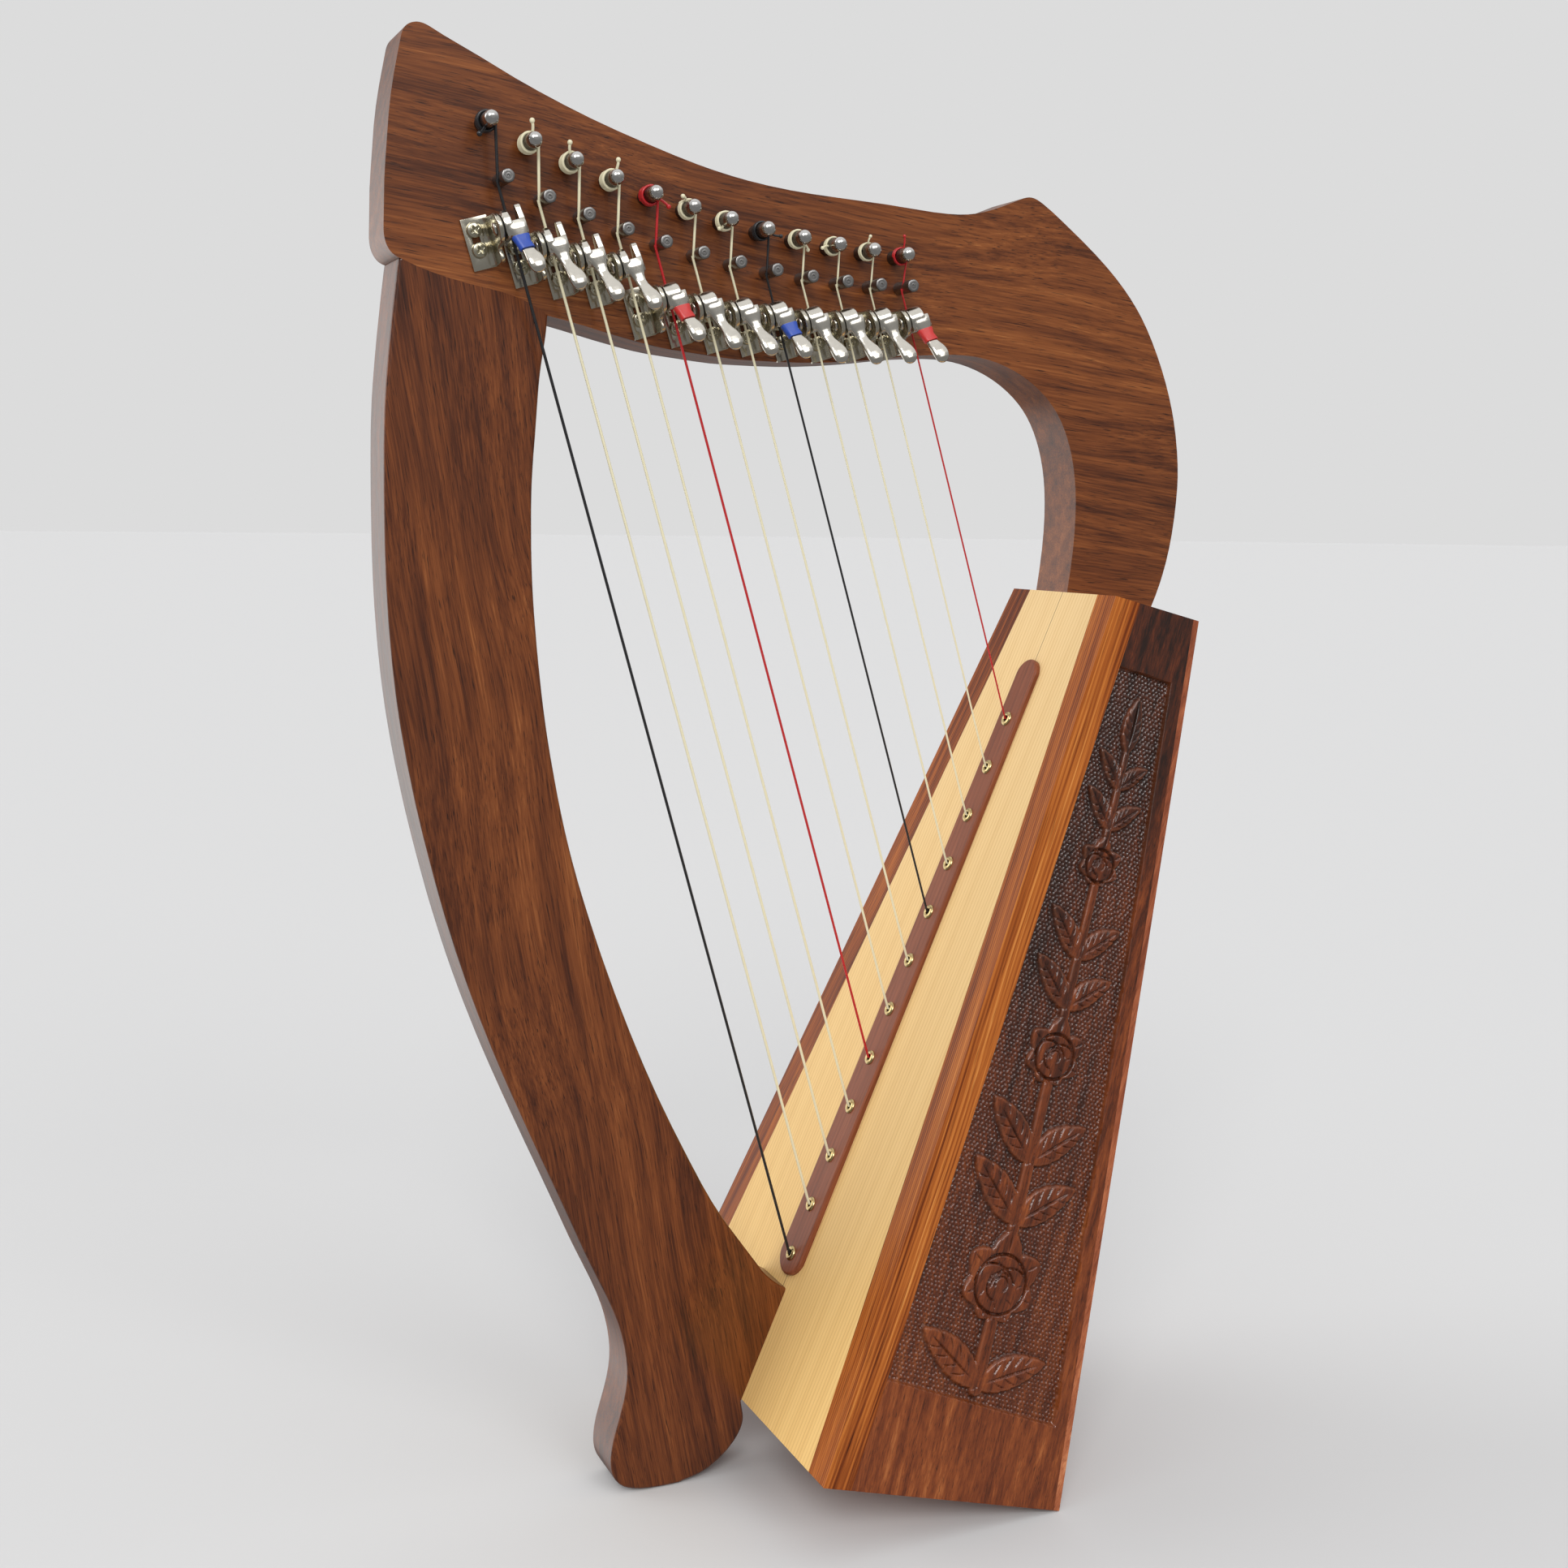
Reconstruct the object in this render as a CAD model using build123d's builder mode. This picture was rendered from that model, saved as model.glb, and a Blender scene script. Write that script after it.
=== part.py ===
from build123d import *
import math
import os

# ---------------------------------------------------------------- dimensions
# Small floor/lap lever harp with twelve strings.  Millimetres, +Z up.
# The plane of the neck, the pillar and the strings is XZ; the bass side is -X,
# the player's side (the back of the soundbox) is +X, and the levers face -Y.
HEIGHT = 610.8

NECK_T = 27.0            # thickness of the neck and the pillar
NECK_NEAR = -3.5         # y of the lever side of the neck
EDGE_R = 2.2             # rounding of the long edges

BOARD_TILT = 23.7        # soundboard from the vertical, degrees
OX, OZ = -3.8, 96.40     # lowest eyelet, on the soundboard's outer face
W0, TAPER = 68.0, 0.1208  # soundboard half width at the lowest eyelet, and its taper
RIM = 15.0               # width of the edge strips beside the soundboard
RIM_D = 13.0             # depth of the edge strips
S_BOT, S_TOP = -68.0, 323.5   # ends of the soundboard along its length
CUT_BOT, CUT_TOP = 0.123, 0.16  # slopes of the end cuts
C0, C_TAPER = 107.6, 0.1884   # depth of the box at the lowest eyelet, and its taper
BOARD_T = 2.8
SIDE_T = 7.0
BACK_T = 3.0
RECESS_D = 2.2
RIB_H = 2.5
STRIP_H = 4.0

PITCH = 23.63            # eyelets along the soundboard
N = 12
PIN_R = 3.05             # tuning pin
PIN_OUT = 16.5
BORE_FIT = 0.05
BRIDGE_R = 2.7           # bridge pin
BRIDGE_OUT = 14.0
STRING_Y = -11.0         # strings at the bridge pins
STRING_R = [0.62, 0.60, 0.58, 0.56, 0.54, 0.52, 0.50, 0.48, 0.46, 0.43, 0.40, 0.38]

AXIS_Y = -16.6           # lever axes
CAM_R = 5.2
EAR_R = 6.0

TUNING = [(-143.7, 574.9), (-126.6, 568.3), (-109.9, 562.2), (-93.4, 556.8),
          (-77.1, 552.0), (-60.9, 547.8), (-44.8, 544.2), (-28.7, 541.3),
          (-12.6, 539.0), (3.5, 537.2), (19.4, 535.9), (35.2, 535.0)]
BRIDGE = [(-137.2, 554.1), (-120.7, 547.6), (-104.6, 542.1), (-88.5, 537.5),
          (-72.5, 533.6), (-56.5, 530.3), (-40.4, 527.6), (-24.3, 525.4),
          (-8.3, 523.7), (7.6, 522.6), (23.1, 522.1), (38.0, 522.4)]
LEVER_DROP = [18.6, 17.7, 15.6, 13.6, 21.6, 20.8, 19.8, 17.9, 17.6, 16.4, 15.1, 14.7]
LEVER_OFF = [0.2, 0.5, 0.2, 0.2, 0.3, 0.2, 0.0, -0.3, -0.3, 0.0, 0.4, 0.6]
FORKED = [0, 1, 2, 3]    # levers with an open fork; the others have a plain cam
BLACK, RED = [0, 7], [4, 11]
SLEEVED = [0, 4, 7, 11]  # levers of the F and C strings carry a coloured sleeve

# ---------------------------------------------------------------- directions
b = math.radians(BOARD_TILT)
U = Vector(math.sin(b), 0, math.cos(b))      # up along the soundboard
V = Vector(math.cos(b), 0, -math.sin(b))     # into the soundbox
Y = Vector(0, 1, 0)
O = Vector(OX, 0, OZ)


def on_board(s, c=0.0, y=0.0):
    """Point at s along the soundboard, c behind its face and y across it."""
    return O + U * s + V * c + Y * y


def half(s):
    return W0 - TAPER * s


def depth(s):
    return C0 - C_TAPER * s


def s_low(c):
    return S_BOT + CUT_BOT * c


def s_high(c):
    return S_TOP + CUT_TOP * c


# local (s, y), normal out of the face
BOARD = Plane(origin=O, x_dir=U, z_dir=-V)
# local (s, c) seen across the box
LONG = Plane(origin=O, x_dir=U, z_dir=Y)
BOT_CUT = Plane(origin=on_board(S_BOT), x_dir=Y, z_dir=(U - V * CUT_BOT).normalized())
TOP_CUT = Plane(origin=on_board(S_TOP), x_dir=Y, z_dir=(U - V * CUT_TOP).normalized())


def round_edges(edges, radius):
    """Round the edges, with the largest radius near the wanted one that closes."""
    for k in (1.0, 0.9, 0.8, 0.65, 0.5):
        try:
            return fillet(edges, radius * k)
        except ValueError:
            continue


def write(part, label):
    part.label = label
    export_step(part, "parts/" + label + ".step")


os.makedirs("parts", exist_ok=True)

# ---------------------------------------------------------------- neck and pillar
base_l = on_board(S_TOP)
base_r = on_board(s_high(44.4), 44.4)        # just inside the plane of the back
j1, j2, j3, j4, j5 = (-176.6, 522.6), (-161.7, 517.2), (-148.9, 514.2), (-134.2, 511.3), (-117.6, 503.6)

with BuildPart() as neck:
    with BuildSketch(Plane.XZ.offset(-(NECK_NEAR + NECK_T))):
        with BuildLine():
            Spline(j1, (-180.2, 524.9), (-182.3, 529.5), (-182.5, 537.0), (-182.1, 550.0), (-181.0, 564.0),
                   (-179.6, 578.6), (-177.2, 593.0), (-175.2, 602.5), (-172.9, 608.4), (-168.6, 610.3),
                   (-161.0, 607.8), (-148.5, 602.0), (-133.0, 594.6), (-116.0, 587.2),
                   (-96.0, 579.6), (-75.1, 572.8), (-54.1, 566.7), (-33.0, 562.2), (-11.0, 559.4),
                   (11.6, 558.0), (34.5, 556.8), (57.9, 555.2), (73.8, 556.0), (86.0, 559.4), (95.5, 563.2),
                   (102.0, 564.9), (108.5, 562.4), (119.0, 555.3), (134.7, 543.6), (149.7, 530.3), (161.1, 516.6),
                   (169.1, 502.7), (175.4, 488.3), (180.0, 473.9), (182.9, 459.2), (184.1, 444.5),
                   (183.3, 429.7), (181.2, 414.7), (177.4, 399.7), (base_r.X, base_r.Z))
            Line((base_r.X, base_r.Z), (base_l.X, base_l.Z))
            Spline((base_l.X, base_l.Z), (128.6, 410.9), (129.5, 425.5), (129.0, 440.0), (127.3, 450.8),
                   (124.0, 461.6), (117.2, 473.9), (108.0, 482.9), (91.7, 491.8), (75.0, 495.6),
                   (60.0, 495.7), (43.5, 494.4), (27.9, 492.4), (12.6, 490.8), (-2.5, 489.8),
                   (-25.0, 489.6), (-39.4, 490.0), (-53.8, 491.4), (-68.0, 492.9), (-82.0, 495.5),
                   (-95.8, 498.7), (-109.4, 502.0), j5)
            Spline(j5, j4, j3, j2, j1)
        make_face()
    extrude(amount=NECK_T)
    long_edges = [e for e in neck.faces().filter_by(Plane.XZ).edges()
                  if not (e.center().Z < 394 or (e.center().X < -120 and 505 < e.center().Z < 521))]
    round_edges(long_edges, EDGE_R)
    with Locations(*[Location((x, 0, z), (90, 0, 0)) for x, z in TUNING]):
        Cylinder(PIN_R + BORE_FIT, 90, mode=Mode.SUBTRACT)
    with Locations(*[Location((x, NECK_NEAR + 6.0, z), (90, 0, 0)) for x, z in BRIDGE]):
        Cylinder(BRIDGE_R + 0.01, 14.0, mode=Mode.SUBTRACT)

# strings: from the tuning pin, round the left of the bridge pin, to the eyelet
strings = []
for i in range(N):
    r = STRING_R[i]
    tx, tz = TUNING[i]
    bx, bz = BRIDGE[i]
    top = Vector(tx + PIN_R + r + 0.35, STRING_Y - 0.6, tz - 1.0)
    eye = on_board(i * PITCH, -(RIB_H + 1.0))
    centre = Vector(bx, STRING_Y, bz)
    corner = Vector(bx - BRIDGE_R - r, STRING_Y, bz)
    for k in range(6):
        up = Vector(top.X - corner.X, 0, top.Z - corner.Z).normalized()
        down = Vector(eye.X - corner.X, 0, eye.Z - corner.Z).normalized()
        inward = (up + down).normalized()
        half_angle = math.acos(max(-1.0, min(1.0, up.dot(down)))) / 2
        corner = centre - inward * ((BRIDGE_R + r + 0.12) / math.sin(half_angle))
    strings.append((top, corner, eye))

# one frame per lever: x across the string, y up along it, z out of the neck
frames = []
for i in range(N):
    top, corner, eye = strings[i]
    d = Vector(eye.X - corner.X, 0, eye.Z - corner.Z).normalized()
    n = Vector(-d.Z, 0, d.X)
    a = Vector(corner.X, AXIS_Y, corner.Z) + d * LEVER_DROP[i] + n * LEVER_OFF[i]
    frames.append(Plane(origin=a, x_dir=n, z_dir=(0, -1, 0)))

NECK_H = AXIS_Y - NECK_NEAR          # height of the neck face in a lever frame
PLATE_T = 1.2
PLATE_X = (-16.7, -5.7)
PLATE_Y = (-13.0, 7.0)
SCREWS = [(-12.4, 2.2), (-12.4, -5.6)]

with BuildPart() as neck_drilled:
    add(neck.part)
    for f in frames:
        with Locations(*[f.location * Location((x, y, NECK_H - 5.0)) for x, y in SCREWS]):
            Cylinder(1.55, 10.0, mode=Mode.SUBTRACT)

left_line = [(-177.0, 522.1), (-178.8, 508.8), (-181.1, 489.8), (-182.9, 471.0), (-184.0, 439.0),
             (-184.1, 413.0), (-183.4, 387.1), (-182.1, 367.4), (-180.0, 347.5), (-176.9, 327.4),
             (-173.0, 307.1), (-168.3, 286.5), (-163.0, 265.7), (-156.8, 244.5), (-149.6, 222.9),
             (-141.4, 201.0), (-132.2, 178.6), (-122.4, 155.8), (-112.2, 132.5), (-102.1, 108.9),
             (-94.6, 92.9), (-88.4, 77.5), (-85.2, 63.5), (-84.6, 53.5), (-86.8, 40.0),
             (-90.4, 27.5), (-92.2, 17.5), (-91.2, 9.0), (-86.5, 3.2)]
right_line = [(-117.6, 503.6), (-118.2, 497.2), (-120.3, 484.4), (-122.8, 458.8), (-124.4, 439.5),
              (-124.9, 420.2), (-124.7, 400.7), (-123.6, 381.0), (-121.9, 361.2), (-119.6, 341.2),
              (-116.4, 320.9), (-112.5, 300.5), (-107.5, 279.7), (-101.3, 258.7), (-94.2, 237.2),
              (-86.2, 215.4), (-77.3, 193.2), (-67.2, 170.5), (-55.8, 147.3), (-42.8, 123.4),
              (-31.5, 106.9), (-21.2, 92.4)]
p_top = on_board(-15.0)
p_bot = on_board(S_BOT)
with BuildPart() as pillar:
    with BuildSketch(Plane.XZ.offset(-(NECK_NEAR + NECK_T))):
        with BuildLine():
            Spline(j1, j2, j3, j4, j5)
            Spline(*right_line)
            Spline(right_line[-1], (-16.5, 87.4), (p_top.X, p_top.Z))
            Line((p_top.X, p_top.Z), (p_bot.X, p_bot.Z))
            Spline((p_bot.X, p_bot.Z), (-30.0, 23.5), (-36.0, 12.6), (-43.5, 6.2), (-51.5, 2.3),
                   (-59.5, 0.5), (-66.5, 0.0), tangents=[Vector(0.1, -1), Vector(-1, 0)])
            Spline((-66.5, 0.0), (-74.5, 0.25), (-81.0, 1.2), (-86.5, 3.2), tangents=[Vector(-1, 0), Vector(-1, 0.55)])
            Spline(*left_line[::-1])
            Line(left_line[0], j1)
        make_face()
    extrude(amount=NECK_T)
    long_edges = [e for e in pillar.faces().filter_by(Plane.XZ).edges()
                  if not ((e.center().X > -170 and e.center().Z > 505)
                          or (BOARD.to_local_coords(e.center()).Z < 0.5
                              and BOARD.to_local_coords(e.center()).X > S_BOT + 5))]
    round_edges(long_edges, EDGE_R)

# ---------------------------------------------------------------- joints in the wood
DOWEL_R = 4.0
DOWELS = [(-163.0, 516.5), (-138.0, 510.8)]
MID_Y = NECK_NEAR + NECK_T / 2
with BuildPart() as pillar_dowels:
    with Locations(*[Location((x, MID_Y, z)) for x, z in DOWELS]):
        Cylinder(DOWEL_R, 34.0)
    chamfer(pillar_dowels.edges().filter_by(GeomType.CIRCLE), 0.8)

SCREW_S = (-27.0, -42.0)             # screws through the pillar block into the foot
BLOCK_C = 22.0
NECK_SCREW_C = (16.0, 32.0)          # screws through the top block into the shoulder
WOOD_SCREW_R = 2.1
TOP_BLOCK_S = 303.0

with BuildPart() as neck_done:
    add(neck_drilled.part)
    with Locations(*[Location((x, MID_Y, z)) for x, z in DOWELS]):
        Cylinder(DOWEL_R, 35.0, mode=Mode.SUBTRACT)
    for c in NECK_SCREW_C:
        with Locations(Plane(origin=on_board(TOP_BLOCK_S, c, MID_Y), z_dir=U)):
            Cylinder(WOOD_SCREW_R, 56.0, align=(Align.CENTER, Align.CENTER, Align.MIN), mode=Mode.SUBTRACT)
write(neck_done.part, "neck")

with BuildPart() as pillar_done:
    add(pillar.part)
    with Locations(*[Location((x, MID_Y, z)) for x, z in DOWELS]):
        Cylinder(DOWEL_R, 35.0, mode=Mode.SUBTRACT)
    for s in SCREW_S:
        with Locations(Plane(origin=on_board(s, BLOCK_C, MID_Y), z_dir=-V)):
            Cylinder(WOOD_SCREW_R, 46.0, align=(Align.CENTER, Align.CENTER, Align.MIN), mode=Mode.SUBTRACT)
write(pillar_done.part, "pillar")
write(pillar_dowels.part, "pillar_dowels")

with BuildPart() as pillar_screws:
    for s in SCREW_S:
        with Locations(Plane(origin=on_board(s, BLOCK_C, MID_Y), z_dir=-V)):
            Cylinder(WOOD_SCREW_R - 0.02, 44.0, align=(Align.CENTER, Align.CENTER, Align.MIN))
            with Locations((0, 0, -2.6)):
                Cylinder(4.2, 2.6, align=(Align.CENTER, Align.CENTER, Align.MIN))
write(pillar_screws.part, "pillar_screws")

with BuildPart() as neck_screws:
    for c in NECK_SCREW_C:
        with Locations(Plane(origin=on_board(TOP_BLOCK_S, c, MID_Y), z_dir=U)):
            Cylinder(WOOD_SCREW_R - 0.02, 54.0, align=(Align.CENTER, Align.CENTER, Align.MIN))
            with Locations((0, 0, -2.6)):
                Cylinder(4.2, 2.6, align=(Align.CENTER, Align.CENTER, Align.MIN))
write(neck_screws.part, "neck_screws")

# ---------------------------------------------------------------- soundbox
LO, HI = S_BOT - 30, S_TOP + 30


def strip_outline(y0, y1, lo=LO, hi=HI):
    """Corners of a band of the front between two offsets from the board edge (-Y side)."""
    return [(lo, -(half(lo) + y1)), (hi, -(half(hi) + y1)), (hi, -(half(hi) + y0)), (lo, -(half(lo) + y0))]


def trim_ends():
    split(bisect_by=BOT_CUT, keep=Keep.TOP)
    split(bisect_by=TOP_CUT, keep=Keep.BOTTOM)


with BuildPart() as soundboard:
    with BuildSketch(BOARD):
        with BuildLine():
            Polyline((LO, -half(LO)), (HI, -half(HI)), (HI, half(HI)), (LO, half(LO)), close=True)
        make_face()
    extrude(amount=-BOARD_T)
    trim_ends()
    with Locations(*[BOARD.location * Location((i * PITCH, 0, -BOARD_T / 2)) for i in range(N)]):
        Cylinder(1.6, 8.0, mode=Mode.SUBTRACT)
    for s in SCREW_S:
        with Locations(Plane(origin=on_board(s, 0, MID_Y), z_dir=-V)):
            Cylinder(WOOD_SCREW_R, 12.0, mode=Mode.SUBTRACT)
write(soundboard.part, "soundboard")

with BuildPart() as edge_strip:
    with BuildSketch(BOARD):
        with BuildLine():
            Polyline(*strip_outline(0.0, RIM), close=True)
        make_face()
    extrude(amount=-RIM_D)
    rim_edge = edge_strip.edges().sort_by(lambda e: e.center().Y + 100 * abs(BOARD.to_local_coords(e.center()).Z))[0]
    fillet(rim_edge, 3.5)
    trim_ends()
with BuildPart() as edge_strip_far:
    add(edge_strip.part)
    mirror(about=Plane.XZ, mode=Mode.REPLACE)
write(edge_strip.part, "edge_strip_left")
write(edge_strip_far.part, "edge_strip_right")

# the side panels: each lies in the plane that holds the board's outer edge and V
side_dir = (U + Y * TAPER)
STRETCH = side_dir.length
SIDE = Plane(origin=O - Y * (W0 + RIM), x_dir=side_dir.normalized(), z_dir=side_dir.normalized().cross(V))


def side_pt(s, c):
    return (s * STRETCH, c)


with BuildPart() as side_panel:
    with BuildSketch(SIDE):
        with BuildLine():
            Polyline(side_pt(LO, RIM_D), side_pt(HI, RIM_D), side_pt(HI, depth(HI) - BACK_T),
                     side_pt(LO, depth(LO) - BACK_T), close=True)
        make_face()
    extrude(amount=SIDE_T)
    with BuildSketch(SIDE):
        with BuildLine():
            Polyline(side_pt(296.0, RIM_D + 0.8), side_pt(299.5, depth(299.5) - 9.0), side_pt(-22.0, depth(-22.0) - 9.0),
                     side_pt(-31.0, RIM_D + 0.8), close=True)
        make_face()
    extrude(amount=RECESS_D, mode=Mode.SUBTRACT)
    trim_ends()
with BuildPart() as side_panel_far:
    add(side_panel.part)
    mirror(about=Plane.XZ, mode=Mode.REPLACE)
write(side_panel.part, "side_panel_left")
write(side_panel_far.part, "side_panel_right")

BLOCK_LO_S = -50.0
with BuildPart() as lining:
    with BuildSketch(BOARD.offset(-BOARD_T)):
        with BuildLine():
            Polyline(*strip_outline(-7.0, 0.0, BLOCK_LO_S + 1.5, TOP_BLOCK_S), close=True)
        make_face()
    extrude(amount=-(RIM_D - BOARD_T))
    split(bisect_by=Plane(origin=on_board(BLOCK_LO_S + 1.5), x_dir=Y, z_dir=(U - V * CUT_BOT).normalized()), keep=Keep.TOP)
    split(bisect_by=Plane(origin=on_board(TOP_BLOCK_S), x_dir=Y, z_dir=U), keep=Keep.BOTTOM)
with BuildPart() as lining_far:
    add(lining.part)
    mirror(about=Plane.XZ, mode=Mode.REPLACE)
write(lining.part, "soundboard_lining_left")
write(lining_far.part, "soundboard_lining_right")

# end blocks between the side panels
BOT_IN = Plane(origin=on_board(BLOCK_LO_S), x_dir=Y, z_dir=(U - V * CUT_BOT).normalized())
TOP_IN = Plane(origin=on_board(TOP_BLOCK_S), x_dir=Y, z_dir=U)
with BuildPart() as core:
    # everything between the side panels, from the rim's underside to the back panel
    with BuildSketch(LONG.offset(-150)):
        with BuildLine():
            Polyline((LO, RIM_D), (HI, RIM_D), (HI, depth(HI) - BACK_T), (LO, depth(LO) - BACK_T), close=True)
        make_face()
    extrude(amount=300)
    with BuildSketch(BOARD):
        with BuildLine():
            Polyline((LO, -(half(LO) + RIM - SIDE_T * STRETCH)), (HI, -(half(HI) + RIM - SIDE_T * STRETCH)),
                     (HI, half(HI) + RIM - SIDE_T * STRETCH), (LO, half(LO) + RIM - SIDE_T * STRETCH), close=True)
        make_face()
    extrude(amount=-200, mode=Mode.INTERSECT)
    trim_ends()

with BuildPart() as rim_core:
    # between the edge strips, from the soundboard's underside to the rim's underside
    with BuildSketch(BOARD.offset(-BOARD_T)):
        with BuildLine():
            Polyline((LO, -half(LO)), (HI, -half(HI)), (HI, half(HI)), (LO, half(LO)), close=True)
        make_face()
    extrude(amount=-(RIM_D - BOARD_T))
    trim_ends()

with BuildPart() as bottom_block:
    add(core.part)
    add(rim_core.part)
    split(bisect_by=BOT_IN, keep=Keep.BOTTOM)
write(bottom_block.part, "bottom_block")

with BuildPart() as top_block:
    add(core.part)
    add(rim_core.part)
    split(bisect_by=TOP_IN, keep=Keep.TOP)
    for c in NECK_SCREW_C:
        with Locations(Plane(origin=on_board(TOP_BLOCK_S, c, MID_Y), z_dir=U)):
            Cylinder(WOOD_SCREW_R, 90.0, mode=Mode.SUBTRACT)
write(top_block.part, "top_block")

with BuildPart() as pillar_block:
    with BuildSketch(BOARD.offset(-BOARD_T)):
        with Locations(((-16.0 - 47.5) / 2, MID_Y / 2)):
            Rectangle(31.5, 44.0)
    extrude(amount=-(BLOCK_C - BOARD_T))
    chamfer(pillar_block.faces().filter_by(lambda f: f.normal_at().dot(V) > 0.99).edges(), 1.5)
    split(bisect_by=Plane(origin=on_board(BLOCK_LO_S), x_dir=Y, z_dir=(U - V * CUT_BOT).normalized()), keep=Keep.TOP)
    for s in SCREW_S:
        with Locations(Plane(origin=on_board(s, 10, MID_Y), z_dir=-V)):
            Cylinder(WOOD_SCREW_R, 60.0, mode=Mode.SUBTRACT)
write(pillar_block.part, "pillar_block")

back_dir = (U - V * C_TAPER)
BSTRETCH = back_dir.length
BACK = Plane(origin=O + V * C0, x_dir=back_dir.normalized(), z_dir=(V + U * C_TAPER).normalized())
HOLES = [(8.0, 23.0), (98.0, 20.5), (182.0, 17.5), (255.0, 14.5)]
with BuildPart() as back_panel:
    with BuildSketch(BACK):
        with BuildLine():
            Polyline((LO * BSTRETCH, -(half(LO) + RIM)), (HI * BSTRETCH, -(half(HI) + RIM)),
                     (HI * BSTRETCH, half(HI) + RIM), (LO * BSTRETCH, half(LO) + RIM), close=True)
        make_face()
        for s, r in HOLES:
            with Locations((s * BSTRETCH, 0)):
                Circle(r, mode=Mode.SUBTRACT)
    extrude(amount=-BACK_T / BSTRETCH)
    trim_ends()
write(back_panel.part, "back_panel")


def back_brace(s):
    return Plane(origin=on_board(s, depth(s) - BACK_T), x_dir=back_dir.normalized(), z_dir=(V + U * C_TAPER).normalized())


with BuildPart() as back_braces:
    for s in (53.0, 140.0, 219.0):
        with BuildSketch(back_brace(s)):
            Rectangle(8.0, 2 * (half(s) + RIM - SIDE_T - 1.2))
        extrude(amount=-7.0)
write(back_braces.part, "back_braces")

# string rib outside the soundboard and string strip inside it
RIB_LO, RIB_HI = -9.5, 289.5


def rib_half(s):
    return 10.4 - (10.4 - 8.0) * max(0.0, min(1.0, s / 280.0))


with BuildPart() as string_rib:
    with BuildSketch(BOARD):
        a0, a1 = RIB_LO + 8.0, RIB_HI - 7.0
        with BuildLine():
            Line((a0, -rib_half(0)), (a1, -rib_half(280)))
            ThreePointArc((a1, -rib_half(280)), (RIB_HI, 0), (a1, rib_half(280)))
            Line((a1, rib_half(280)), (a0, rib_half(0)))
            ThreePointArc((a0, rib_half(0)), (RIB_LO, 0), (a0, -rib_half(0)))
        make_face()
    extrude(amount=RIB_H)
    fillet(string_rib.faces().sort_by(lambda f: -BOARD.to_local_coords(f.center()).Z)[0].edges(), 1.1)
    with Locations(*[BOARD.location * Location((i * PITCH, 0, RIB_H / 2)) for i in range(N)]):
        Cylinder(2.1, 8.0, mode=Mode.SUBTRACT)
write(string_rib.part, "string_rib")

with BuildPart() as inner_string_strip:
    with BuildSketch(BOARD.offset(-BOARD_T)):
        with Locations((139.5, 0)):
            Rectangle(305.0, 22.0)
    extrude(amount=-STRIP_H)
    with Locations(*[BOARD.location * Location((i * PITCH, 0, -BOARD_T)) for i in range(N)]):
        Cylinder(1.0, 12.0, mode=Mode.SUBTRACT)
write(inner_string_strip.part, "inner_string_strip")

with BuildPart() as eyelets:
    for i in range(N):
        p = Plane(origin=on_board(i * PITCH), x_dir=Y, z_dir=U)
        with BuildSketch(p):
            with BuildLine():
                Polyline((1.30, RIB_H + 0.6), (1.8, RIB_H + 0.95), (2.6, RIB_H + 0.9), (3.3, RIB_H + 0.45),
                         (3.4, RIB_H), (2.05, RIB_H), (2.05, 0.02), (1.30, 0.02), close=True)
            make_face()
        revolve(axis=Axis(on_board(i * PITCH), -V))
write(eyelets.part, "eyelets")

# ---------------------------------------------------------------- pins
SQUARE = 5.4
FAR = NECK_NEAR + NECK_T
for i in range(N):
    x, z = TUNING[i]
    with BuildPart() as tuning_pin:
        # revolved about its own axis: local x is the radius, local y runs to +Y
        p = Plane(origin=(x, 0, z), x_dir=(1, 0, 0), z_dir=(0, 0, 1))
        y0 = NECK_NEAR - PIN_OUT
        with BuildSketch(p):
            with BuildLine():
                Line((0, y0), (0.6, y0))
                ThreePointArc((0.6, y0), (2.25, y0 + 0.75), (PIN_R, y0 + 2.5))
                Line((PIN_R, y0 + 2.5), (PIN_R, FAR + 4.0))
                Line((PIN_R, FAR + 4.0), (2.6, FAR + 5.0))
                Line((2.6, FAR + 5.0), (0, FAR + 5.0))
                Line((0, FAR + 5.0), (0, y0))
            make_face()
        revolve(axis=Axis((x, 0, z), (0, 1, 0)))
        with BuildSketch(Plane(origin=(x, FAR + 4.0, z), x_dir=(1, 0, 0), z_dir=(0, 1, 0))):
            Rectangle(SQUARE - 1.4, SQUARE - 1.4)
        extrude(amount=10.0)
        chamfer(tuning_pin.faces().sort_by(Axis.Y)[-1].edges(), 0.6)
        with Locations(Location((x, STRING_Y - 0.4, z), (0, 90, 0))):
            Cylinder(0.8, 10.0, mode=Mode.SUBTRACT)
    write(tuning_pin.part, f"tuning_pin_{i + 1:02d}")

with BuildPart() as bridge_pins:
    for i in range(N):
        x, z = BRIDGE[i]
        p = Plane(origin=(x, 0, z), x_dir=(1, 0, 0), z_dir=(0, 0, 1))
        y0, yg = NECK_NEAR - BRIDGE_OUT, STRING_Y
        with BuildSketch(p):
            with BuildLine():
                Polyline((0, y0), (BRIDGE_R - 0.5, y0), (BRIDGE_R, y0 + 0.5), (BRIDGE_R, yg - 1.0),
                         (BRIDGE_R - 0.25, yg), (BRIDGE_R, yg + 1.0), (BRIDGE_R, NECK_NEAR + 12.0),
                         (BRIDGE_R - 0.6, NECK_NEAR + 12.8), (0, NECK_NEAR + 12.8), close=True)
            make_face()
        revolve(axis=Axis((x, 0, z), (0, 1, 0)))
write(bridge_pins.part, "bridge_pins")

# ---------------------------------------------------------------- sharpening levers
EAR_X = (-7.7, -5.7)
WASHER_X = (-5.65, -5.0)
CAM_X = (-4.95, 1.8)
AXLE_R = 1.5


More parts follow.
